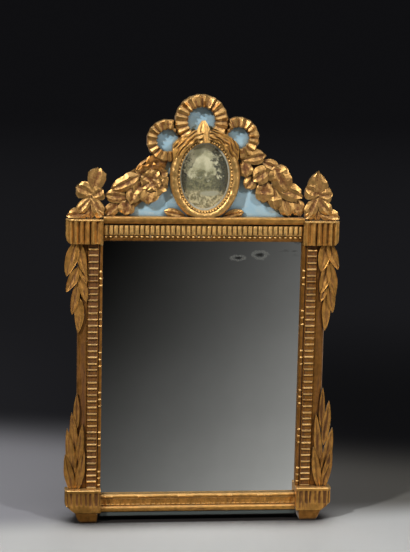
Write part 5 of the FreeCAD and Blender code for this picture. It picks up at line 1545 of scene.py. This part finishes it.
# %% [markdown]
# What the plate shows is the floor in front of it and the dark room beyond. So for glossy rays the floor
# glows with a painted reflection of its own: light close by on the right, dark far away. A curve says how the
# tone falls off with the distance, in tones as the eye counts them, and a power turns them into light.

# %% What the plate shows
GLOW_REACH = 4.0
GLOW_TONES = ((0.0, 0.37), (0.136, 0.26), (0.2675, 0.19), (0.4475, 0.12), (0.7225, 0.065), (1.0, 0.03))
GLOW_ASIDE = 0.286
GLOW_DARKEST = 0.02
GLOW_TINT = (1.0, 1.0, 0.975)
GLOW_STRENGTH = 1.1


def reflected_floor(finish, x, y):
    ahead = finish.times(y, -1.0)
    tones = finish.add("ShaderNodeFloatCurve")
    tones.inputs["Factor"].default_value = 1.0
    finish.feed(tones.inputs["Value"], finish.maths("DIVIDE", ahead, GLOW_REACH, clamp=True))
    curve = tones.mapping.curves[0]
    curve.points[0].location = GLOW_TONES[0]
    curve.points[1].location = GLOW_TONES[-1]
    for distance, tone in GLOW_TONES[1:-1]:
        curve.points.new(distance, tone)
    tones.mapping.update()
    width = finish.line(ahead, 0.117, 0.347)
    aside = finish.maths("DIVIDE", finish.plus(x, finish.line(ahead, -0.056, 0.173)), width)
    aside = finish.most(finish.maths("MINIMUM", aside, 1.6), -0.4)
    tone = finish.most(finish.line(aside, GLOW_ASIDE, tones.outputs[0]), GLOW_DARKEST)
    light = finish.maths("POWER", finish.scaled(tone, -0.055, 1.055), 2.4)
    glow = finish.add("ShaderNodeEmission")
    finish.feed(glow.inputs["Color"], finish.mix(1.0, GLOW_TINT, light, "MULTIPLY"))
    glow.inputs["Strength"].default_value = GLOW_STRENGTH
    return glow.outputs[0]


print(f"the plate shows the floor up to {GLOW_REACH:.0f} m in front of it")

# %% [markdown]
# Far behind the mirror the camera sees the floor sink into the dark of the studio, a little lighter on the
# left. There the floor gives off that faint light itself, for camera rays only, so that the lamps can't
# brighten it.

# %% Floor
STUDIO_DARK = (0.0050, 0.0050, 0.0058)
LEFT_DUSK = (0.0145, 0.0145, 0.0165)
RIGHT_DUSK = (0.0050, 0.0050, 0.0056)
BACK_DUSK = (0.0098, 0.0098, 0.0112)
FLOOR_CORNERS = [(-30, -12, 0), (30, -12, 0), (30, 60, 0), (-30, 60, 0)]


def dusk_floor(finish, x, y):
    dusk = finish.add("ShaderNodeEmission")
    colour = finish.mix(finish.between(x, -0.7, 0.5), LEFT_DUSK, RIGHT_DUSK)
    colour = finish.mix(finish.between(y, 0.8, 2.2), colour, BACK_DUSK)
    finish.feed(dusk.inputs["Color"], finish.mix(finish.between(y, 1.6, 14), colour, STUDIO_DARK))
    return dusk.outputs[0]


def blend(finish, share, first, second):
    made = finish.add("ShaderNodeMixShader")
    for socket, value in zip(made.inputs, (share, first, second)):
        finish.feed(socket, value)
    return made.outputs[0]


def floor_finish():
    finish = Finish("studio_floor")
    x, y, _ = finish.xyz()
    cloud = finish.grain(900, 2)
    edge = finish.ragged(y, cloud, 0.03)
    depth = finish.line(x, 0.30, edge)
    finish.set("Base Color", floor_colour(finish, x, y, edge, depth))
    finish.set("Roughness", finish.line(cloud, 0.1, 0.75))
    finish.set("Specular IOR Level", 0.15)
    rays = finish.add("ShaderNodeLightPath")
    far_seen = finish.times(finish.between(depth, 0.36, 0.78), rays.outputs["Is Camera Ray"])
    seen = blend(finish, far_seen, finish.shader.outputs[0], dusk_floor(finish, x, y))
    floor = blend(finish, rays.outputs["Is Glossy Ray"], seen, reflected_floor(finish, x, y))
    finish.feed(finish.tree.nodes["Material Output"].inputs["Surface"], floor)
    return finish.material


mesh = bpy.data.meshes.new("studio_floor")
mesh.from_pydata(FLOOR_CORNERS, [], [(0, 1, 2, 3)])
mesh.materials.append(floor_finish())
ground = bpy.data.objects.new("studio_floor", mesh)
scene.collection.objects.link(ground)
print("one floor")

# %% [markdown]
# The world is a faint even light for everything but the camera, which sees a near-black studio. Two soft
# boxes stand left and right in front, one hangs above, and a weak one behind keeps the back readable.

# %% Light
EVEN_LIGHT = (0.045, 0.045, 0.047)
MIDDLE = (0, 0, 0.42)


def studio_world():
    world = bpy.data.worlds.new("studio")
    world.use_nodes = True
    scene.world = world
    tree = world.node_tree
    rays = tree.nodes.new("ShaderNodeLightPath")
    colour = tree.nodes.new("ShaderNodeMix")
    colour.data_type = "RGBA"
    colour.inputs[6].default_value = (*EVEN_LIGHT, 1)
    colour.inputs[7].default_value = (*STUDIO_DARK, 1)
    tree.links.new(rays.outputs["Is Camera Ray"], colour.inputs["Factor"])
    tree.links.new(colour.outputs[2], tree.nodes["Background"].inputs["Color"])


def soft_box(name, place, size, watts, glossy=True):
    light = bpy.data.lights.new(name, "AREA")
    light.shape = "RECTANGLE"
    light.size, light.size_y = size
    light.energy = watts
    lamp = bpy.data.objects.new(name, light)
    lamp.location = place
    lamp.rotation_euler = (Vector(MIDDLE) - Vector(place)).to_track_quat("-Z", "Y").to_euler()
    lamp.visible_camera = False
    lamp.visible_glossy = glossy
    scene.collection.objects.link(lamp)


studio_world()
soft_box("left_box", (-1.6, -1.45, 2.1), (0.16, 0.20), 64)
soft_box("right_box", (1.4, -1.6, 1.85), (0.16, 0.20), 27)
soft_box("top_box", (0.1, -0.5, 2.4), (0.70, 0.40), 5)
soft_box("back_box", (0.5, 2.2, 1.6), (1.2, 1.2), 14, glossy=False)
print("world and four soft boxes")

# %% [markdown]
# The camera stands a little left of the middle and above the mirror, and looks down at it with a long lens.
# Its place, turn and lens were worked out from the corners of the plate, the capitals and the feet.

# %% Camera
FRAME_HEIGHT = 552
FOCAL_PIXELS = 1473
CAMERA_PLACE = (-0.2817, -2.509, 0.8388)
CAMERA_TURN = -6.5
CAMERA_DOWN = 9.04
CAMERA_ROLL = 1.24
lens = bpy.data.cameras.new("studio_camera")
lens.sensor_fit = "VERTICAL"
lens.sensor_height = 36
lens.lens = FOCAL_PIXELS * lens.sensor_height / FRAME_HEIGHT
lens.clip_end = 120
camera = bpy.data.objects.new("studio_camera", lens)
aim = Matrix.Rotation(math.radians(CAMERA_TURN), 3, "Z")
aim @= Matrix.Rotation(math.radians(90 - CAMERA_DOWN), 3, "X")
aim @= Matrix.Rotation(math.radians(CAMERA_ROLL), 3, "Z")
camera.rotation_euler = aim.to_euler()
camera.location = CAMERA_PLACE
scene.collection.objects.link(camera)
scene.camera = camera
scene.view_settings.view_transform = "Standard"
print(f"lens {lens.lens:.1f} mm")
